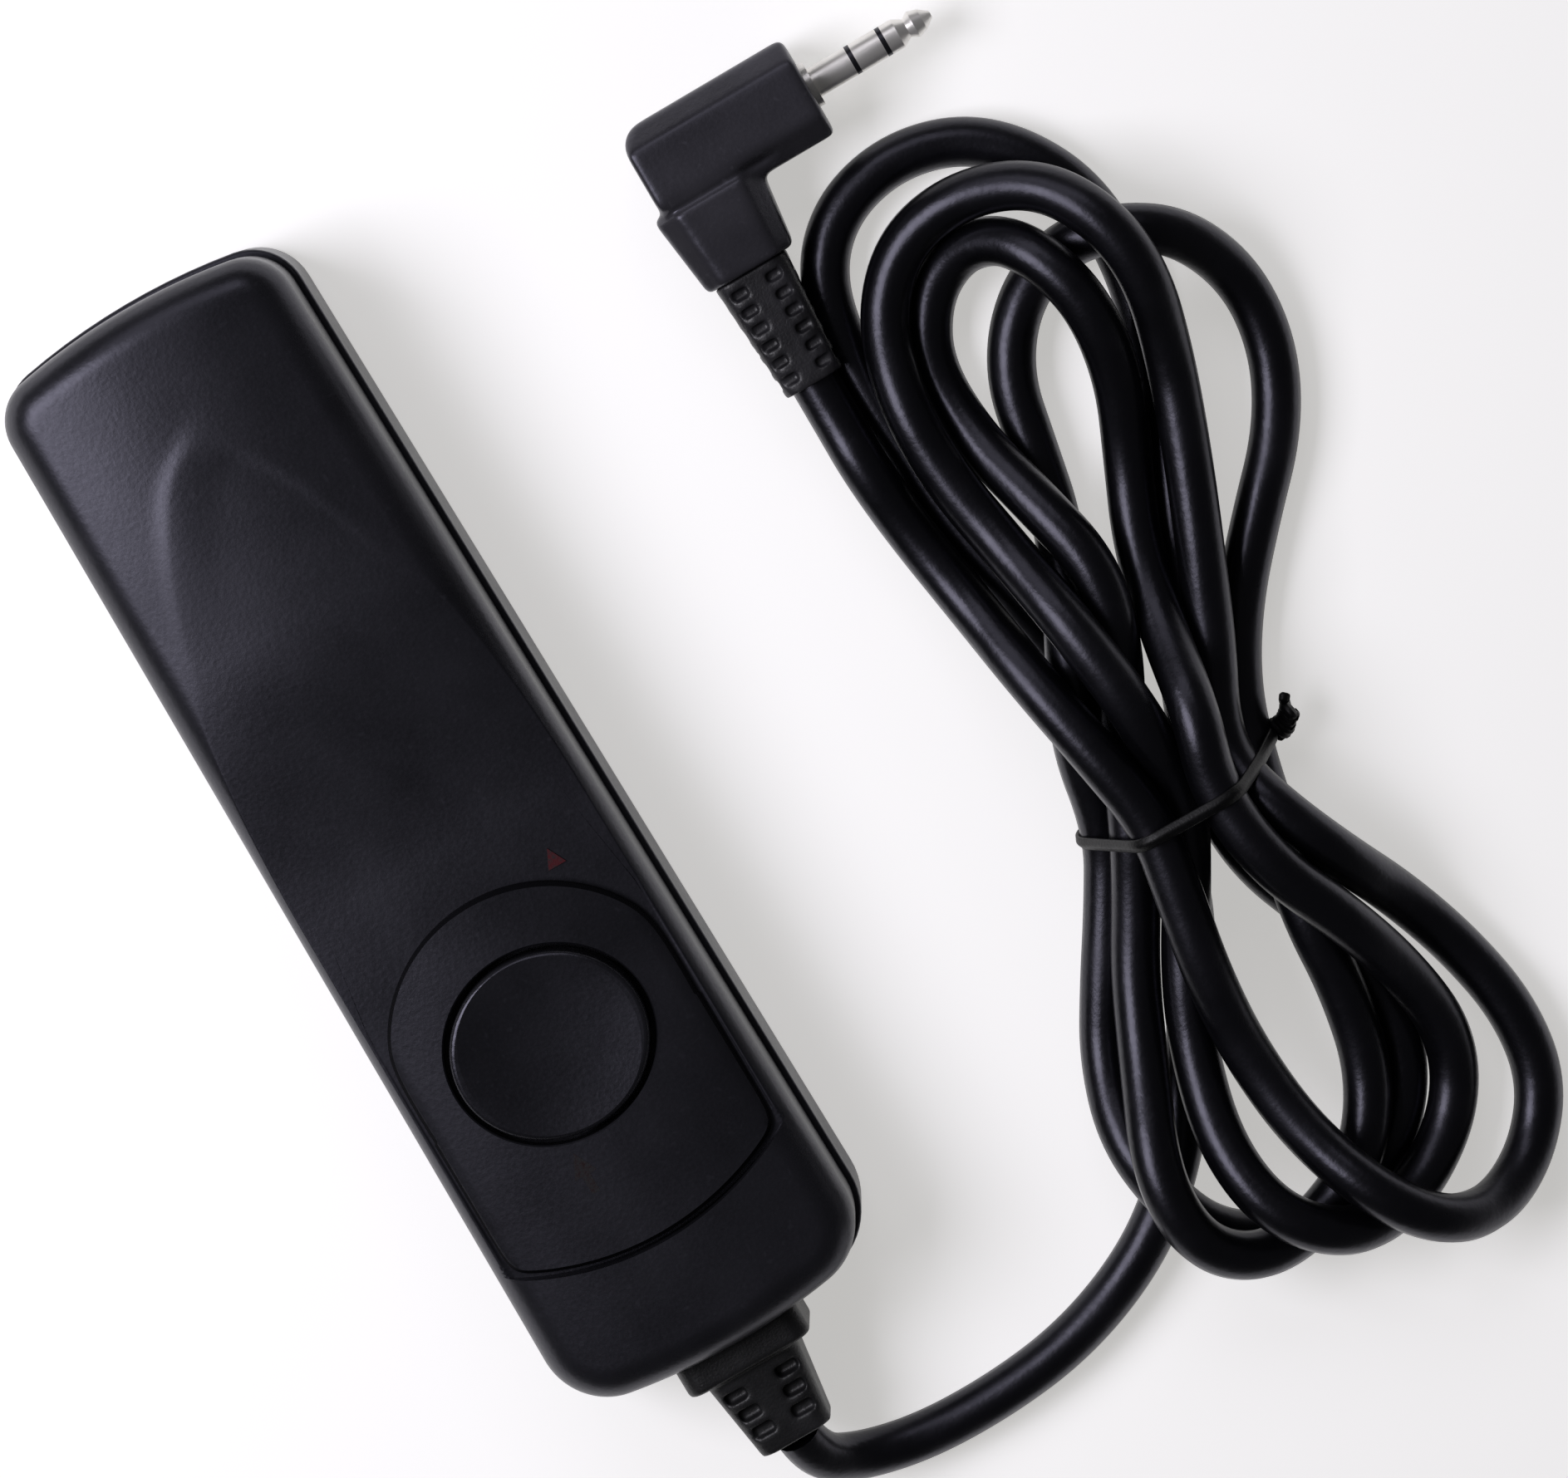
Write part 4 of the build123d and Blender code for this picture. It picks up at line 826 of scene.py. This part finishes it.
def make_lock_plate(plastic, painted_shadow_finish):
    """The lock plate as one closed skin round the button's hole, with its chamfer and outer side in a
    near-black painted shadow for the gap round it, and two legs.

    Its top follows the case's crown and rounded edge, a little lower."""
    turn = all_round(PLATE_COLUMNS)
    unit = heading(turn)
    hole = 1.0 / np.hypot(unit[:, 0] / PLATE_HOLE[0], unit[:, 1] / PLATE_HOLE[1])
    out = plate_edge(turn)
    start, stop = hole + PLATE_HOLE_ROUND, out - PLATE_CHAMFER
    reach = np.stack([start + (stop - start) * share for share in np.linspace(0.0, 1.0, PLATE_ROWS)])
    reach = np.concatenate([reach, out[None], out[None], hole[None], hole[None]])
    x, y = reach * unit[:, 0], BUTTON_Y + reach * unit[:, 1]
    height = crown_height(x) - PLATE_UNDER_CROWN - PLATE_EDGE_SHARE * edge_drop(x, y)
    under = np.minimum(PLATE_BOTTOM_Z, height - PLATE_LEAST)
    height[-4] = np.maximum(height[-4] - PLATE_CHAMFER, under[-4] + PLATE_SIDE_LEAST)
    height[-3:-1] = under[-3:-1]
    height[-1] -= PLATE_HOLE_ROUND
    points = [np.dstack([x, y, height]).reshape(-1, 3)]
    faces = [grid_faces(len(reach), PLATE_COLUMNS, closed_rows=True)]
    box_faces = np.array(
        [[0, 1, 3, 2], [4, 6, 7, 5], [0, 4, 5, 1], [2, 3, 7, 6], [0, 2, 6, 4], [1, 5, 7, 3]]
    )
    for side in (-1.0, 1.0):
        spans = [(side * LEG_X[0], side * LEG_X[1]), (BUTTON_Y - LEG_HALF_Y, BUTTON_Y + LEG_HALF_Y), LEG_Z]
        faces.append(box_faces + sum(len(block) for block in points))
        points.append(np.stack(np.meshgrid(*spans, indexing="ij"), axis=-1).reshape(-1, 3))
    body = body_of("lock_slide")
    plate = mesh_piece("handset_lock_slide", points, faces, plastic, body)
    plate.data.materials.append(painted_shadow_finish)
    # The chamfer and the outer side take the second slot: near-black painted shadow standing for the dark
    # gap round the plate.
    kinds = np.zeros(len(plate.data.polygons), dtype=np.int32)
    kinds[(PLATE_ROWS - 1) * PLATE_COLUMNS:(PLATE_ROWS + 1) * PLATE_COLUMNS] = 1
    plate.data.polygons.foreach_set("material_index", kinds)
    close_up(plate.data)
    plate.data.set_sharp_from_angle(angle=PLATE_SHARP)
    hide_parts("lock_slide")


def eased_moulding(node, name, grain, passes, material, carve=None):
    """A moulding from its CAD part, in small even faces, eased until its edges are round.

    Each pass moves every point half-way to the mean of its neighbours, so flat faces stay flat."""
    mesh = frame["nodes"][node].data.copy()
    close_up(mesh, 2e-6, outwards=False)
    rough = bpy.data.objects.new(name + "_rough", mesh)
    bpy.context.scene.collection.objects.link(rough)
    blocks = rough.modifiers.new("even", "REMESH")
    blocks.mode, blocks.voxel_size = "VOXEL", grain
    ease = rough.modifiers.new("ease", "SMOOTH")
    ease.factor, ease.iterations = 0.5, passes
    held = rough.evaluated_get(bpy.context.evaluated_depsgraph_get())
    done = bpy.data.meshes.new_from_object(held)
    points = np.empty(len(done.vertices) * 3)
    done.vertices.foreach_get("co", points)
    points = points.reshape(-1, 3) / MM
    if carve:
        carve(points)
    corners = np.empty(len(done.loops), dtype=np.int64)
    done.loops.foreach_get("vertex_index", corners)
    starts = np.empty(len(done.polygons), dtype=np.int64)
    done.polygons.foreach_get("loop_start", starts)
    faces = np.split(corners, starts[1:])
    bpy.data.objects.remove(rough)
    piece = mesh_piece(name, [points], [faces], material, body_of(node))
    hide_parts(node)


def plug_seam(points):
    """Presses the seam between the plug's head and neck into its upper side.

    The depth is a bell of the distance from the seam's line, and fades at its end and down the side."""
    low, high = (np.asarray(corner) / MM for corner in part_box("plug_body"))
    seam = high[1] - PLUG_HEAD_FLAT
    across = np.clip((high[0] - PLUG_SEAM_END - points[:, 0]) / PLUG_SEAM_FADE, 0.0, 1.0)
    upper = np.clip((points[:, 2] - 0.5 * (low[2] + high[2])) / PLUG_SEAM_RISE, 0.0, 1.0)
    line = np.exp(-(((points[:, 1] - seam) / PLUG_SEAM_WIDTH) ** 2))
    points[:, 2] -= PLUG_SEAM_DEPTH * line * across * upper


def make_button_spring(steel):
    """The return spring under the button: a round wire carried along a helix."""
    share = np.linspace(0.0, 1.0, SPRING_POINTS)
    turn = 2 * np.pi * SPRING_TURNS * share
    outward = np.column_stack([heading(turn), np.zeros(SPRING_POINTS)])
    low, high = SPRING_Z[0] + SPRING_WIRE, SPRING_Z[1] - SPRING_WIRE
    middle = np.column_stack(
        [np.zeros(SPRING_POINTS), np.full(SPRING_POINTS, BUTTON_Y), low + (high - low) * share]
    )
    path = outward * SPRING_RADIUS + middle
    wire = SPRING_WIRE * heading(all_round(SPRING_SIDES))
    points, faces = capped(carried(path, wire, outward), 0)
    body = body_of("button_spring")
    spring = mesh_piece("button_return_spring", points, faces, steel, body)
    close_up(spring.data)
    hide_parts("button_spring")
    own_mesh(spring)


# ---------------- handset
def dress(finishes):
    """Puts a finish on each named CAD part, by assigning its material slots."""
    for name, material in finishes.items():
        node = frame["nodes"][name]
        if not node.material_slots:
            node.data.materials.append(material)
        for held in node.material_slots:
            held.material = material


class RELEASE_OT_handset(bpy.types.Operator):
    """Finishes the handset's two mouldings, its lock slide, its button and its printed marks"""

    bl_idname = "release.handset"
    bl_label = "Handset"

    def execute(self, context):
        settings = context.scene.release_case
        colour, roughness = settings.colour, settings.roughness
        ink = worn_print("ink_red", settings.ink, colour)
        rubbed_ink = worn_print("ink_red_rubbed", shade(settings.ink, 0.16), colour, 0.48)
        plastic = moulded_plastic("slide_charcoal", shade(colour, 0.85), roughness + 0.02)
        # Near-black, dull and barely reflecting: painted shadow on the plate's chamfer, standing for the
        # dark gap round the plate.
        shadow = moulded_plastic("slide_edge_painted_shadow", shade(colour, 0.1), 0.75, Specular_IOR_Level=0.12)
        make_lock_plate(plastic, shadow)
        make_cover(moulded_plastic("cover_charcoal", colour, roughness))
        relief = rubber("relief_black", (0.011, 0.011, 0.012, 1.0), 0.42)
        eased_moulding("handset_strain_relief", "handset_relief", 0.00018, 5, relief)
        dress(
            {
                "bottom_shell": moulded_plastic("shell_charcoal", colour, roughness + 0.02),
                "shutter_button": moulded_plastic("button_charcoal", shade(colour, 0.8), roughness - 0.04),
                "lock_mark": ink,
                "index_mark": ink,
                "lock_arrow": rubbed_ink,
                "rating_label": label_film("label_grey", (0.35, 0.35, 0.36, 1.0)),
            }
        )
        return {"FINISHED"}


class RELEASE_OT_insides(bpy.types.Operator):
    """Finishes what is inside the handset: the board, contacts, springs, wires and screws"""

    bl_idname = "release.insides"
    bl_label = "Insides"

    def execute(self, context):
        steel = turned_metal("steel_wire", (0.55, 0.55, 0.56, 1.0), 0.25, "Z")
        screws = turned_metal("steel_zinc", (0.6, 0.6, 0.62, 1.0), 0.32, "Z")
        bronze = turned_metal("bronze_strip", (0.72, 0.43, 0.2, 1.0), 0.3, "Y")
        inner = moulded_plastic("inner_black", (0.02, 0.02, 0.022, 1.0), 0.5)
        make_button_spring(steel)
        dress(
            {
                "slide_keeper": inner, "button_stem": inner, "contact_block": inner, "cable_clamp": inner,
                "stem_clip": steel, "detent_spring": steel,
                "case_screws": screws, "clamp_screws": screws, "board_screws": screws,
                "contact_full": bronze, "contact_half": bronze, "contact_common": bronze,
                "contact_points": turned_metal("silver_contacts", (0.86, 0.85, 0.82, 1.0), 0.22, "Z"),
                "circuit_board": laminate("board_green", (0.02, 0.11, 0.05, 1.0)),
                "solder_joints": turned_metal("solder_tin", (0.62, 0.62, 0.63, 1.0), 0.3, "Z", wear=0.4),
                "wire_focus": cord_plastic("wire_white", (0.62, 0.62, 0.6, 1.0), 0.35),
                "wire_ground": cord_plastic("wire_black", (0.01, 0.01, 0.011, 1.0), 0.35),
                "wire_shutter": cord_plastic("wire_red", (0.42, 0.02, 0.015, 1.0), 0.35),
                "cord_inner": cord_plastic("cord_inner_black", (0.006, 0.006, 0.007, 1.0), 0.3),
            }
        )
        return {"FINISHED"}


class RELEASE_OT_plug(bpy.types.Operator):
    """Finishes the plug: its moulding and tail, its nickel contacts and the rings between them"""

    bl_idname = "release.plug"
    bl_label = "Plug"

    def execute(self, context):
        settings = context.scene.release_plug
        nickel = turned_metal("nickel_plate", settings.plating, 0.3, "X", metallic=0.72)
        moulding = moulded_plastic("plug_charcoal", settings.colour, 0.36)
        eased_moulding("plug_body", "plug_moulding", 0.00022, 26, moulding, plug_seam)
        tail = rubber("plug_tail_black", shade(settings.colour, 0.6), 0.36)
        eased_moulding("plug_strain_relief", "plug_tail", 0.00015, 5, tail)
        dress(
            {
                "plug_collar": nickel, "plug_sleeve": nickel, "plug_ring": nickel, "plug_tip": nickel,
                "plug_insulators": moulded_plastic("rings_black", (0.008, 0.008, 0.009, 1.0), 0.35),
            }
        )
        return {"FINISHED"}


# ---------------- stage
SOFT_LIGHTS = [
    # name, place, aimed at, width, height, brightness beside a white floor
    ("key", (-172.0, 128.0, 290.0), (0.0, 20.0, 12.0), 205.0, 205.0, 6.6),
    ("far", (110.0, 420.0, 420.0), (30.0, 0.0, 8.0), 420.0, 240.0, 1.3),
]
FLOOR_REACH, FLOOR_Z = 6.0, -0.00002
FLOOR_GLOW, FLOOR_GLOW_STRENGTH = (1.0, 0.985, 0.96, 1.0), 0.5
LIGHT_COLOUR = (0.94, 0.92, 1.0)
SURROUNDING_LIGHT = 0.05


class RELEASE_OT_stage(bpy.types.Operator):
    """Sets out the pale floor, the soft lights and the surrounding light"""

    bl_idname = "release.stage"
    bl_label = "Stage"

    def execute(self, context):
        settings = context.scene.release_stage
        corners = [(-1, -1), (1, -1), (1, 1), (-1, 1)]
        mesh = bpy.data.meshes.new("floor")
        mesh.from_pydata(
            [(x * FLOOR_REACH, y * FLOOR_REACH, FLOOR_Z) for x, y in corners], [], [(0, 1, 2, 3)]
        )
        floor = bpy.data.objects.new("floor", mesh)
        context.scene.collection.objects.link(floor)
        pale = Finish("floor_pale", Roughness=0.85)
        cloud = pale.noise(0.4, 2.0)
        level = (settings.floor,) * 3 + (1.0,)
        pale.feed("Base Color", pale.mix(cloud * 0.1, level, shade(level, 0.97)))
        pale.shader.inputs["Emission Color"].default_value = FLOOR_GLOW
        pale.shader.inputs["Emission Strength"].default_value = FLOOR_GLOW_STRENGTH
        mesh.materials.append(pale.material)
        for name, place, aim, width, height, bright in SOFT_LIGHTS:
            data = bpy.data.lights.new(name, "AREA")
            data.shape, data.size, data.size_y = "RECTANGLE", width * MM, height * MM
            data.color = LIGHT_COLOUR
            data.energy = settings.lights * bright * math.pi * data.size * data.size_y
            light = bpy.data.objects.new(name, data)
            turn = (Vector(place) - Vector(aim)).to_track_quat("Z", "Y")
            light.matrix_world = Matrix.Translation(Vector(place) * MM) @ turn.to_matrix().to_4x4()
            context.scene.collection.objects.link(light)
        world = bpy.data.worlds.new("studio")
        world.use_nodes = True
        background = world.node_tree.nodes["Background"]
        background.inputs["Color"].default_value = (1.0, 1.0, 1.0, 1.0)
        background.inputs["Strength"].default_value = SURROUNDING_LIGHT
        context.scene.world = world
        context.scene.view_settings.view_transform = "Standard"
        return {"FINISHED"}


# ---------------- panel
class RELEASE_PT_panel(bpy.types.Panel):
    """Lists the release's settings and the steps that make it"""

    bl_label = "Shutter release"
    bl_idname = "RELEASE_PT_panel"
    bl_space_type = "VIEW_3D"
    bl_region_type = "UI"
    bl_category = "Shutter release"

    def draw(self, context):
        for group, settings in SETTINGS.items():
            box = self.layout.box()
            held = getattr(context.scene, group)
            for name in settings.__annotations__:
                box.prop(held, name)
        for operator in OPERATORS:
            self.layout.operator(operator.bl_idname)


SETTINGS = {
    "release_cord": CordSettings,
    "release_case": CaseSettings,
    "release_plug": PlugSettings,
    "release_stage": StageSettings,
}
OPERATORS = [
    RELEASE_OT_camera,
    RELEASE_OT_plug,
    RELEASE_OT_cord,
    RELEASE_OT_handset,
    RELEASE_OT_insides,
    RELEASE_OT_stage,
]


def register():
    for kind in [*SETTINGS.values(), *OPERATORS, RELEASE_PT_panel]:
        bpy.utils.register_class(kind)
    for group, settings in SETTINGS.items():
        setattr(bpy.types.Scene, group, PointerProperty(type=settings))


def unregister():
    for group in SETTINGS:
        delattr(bpy.types.Scene, group)
    for kind in [RELEASE_PT_panel, *reversed(OPERATORS), *reversed(SETTINGS.values())]:
        bpy.utils.unregister_class(kind)


def main():
    register()
    for operator in OPERATORS:
        group, name = operator.bl_idname.split(".")
        getattr(getattr(bpy.ops, group), name)()


if __name__ == "__main__":
    main()
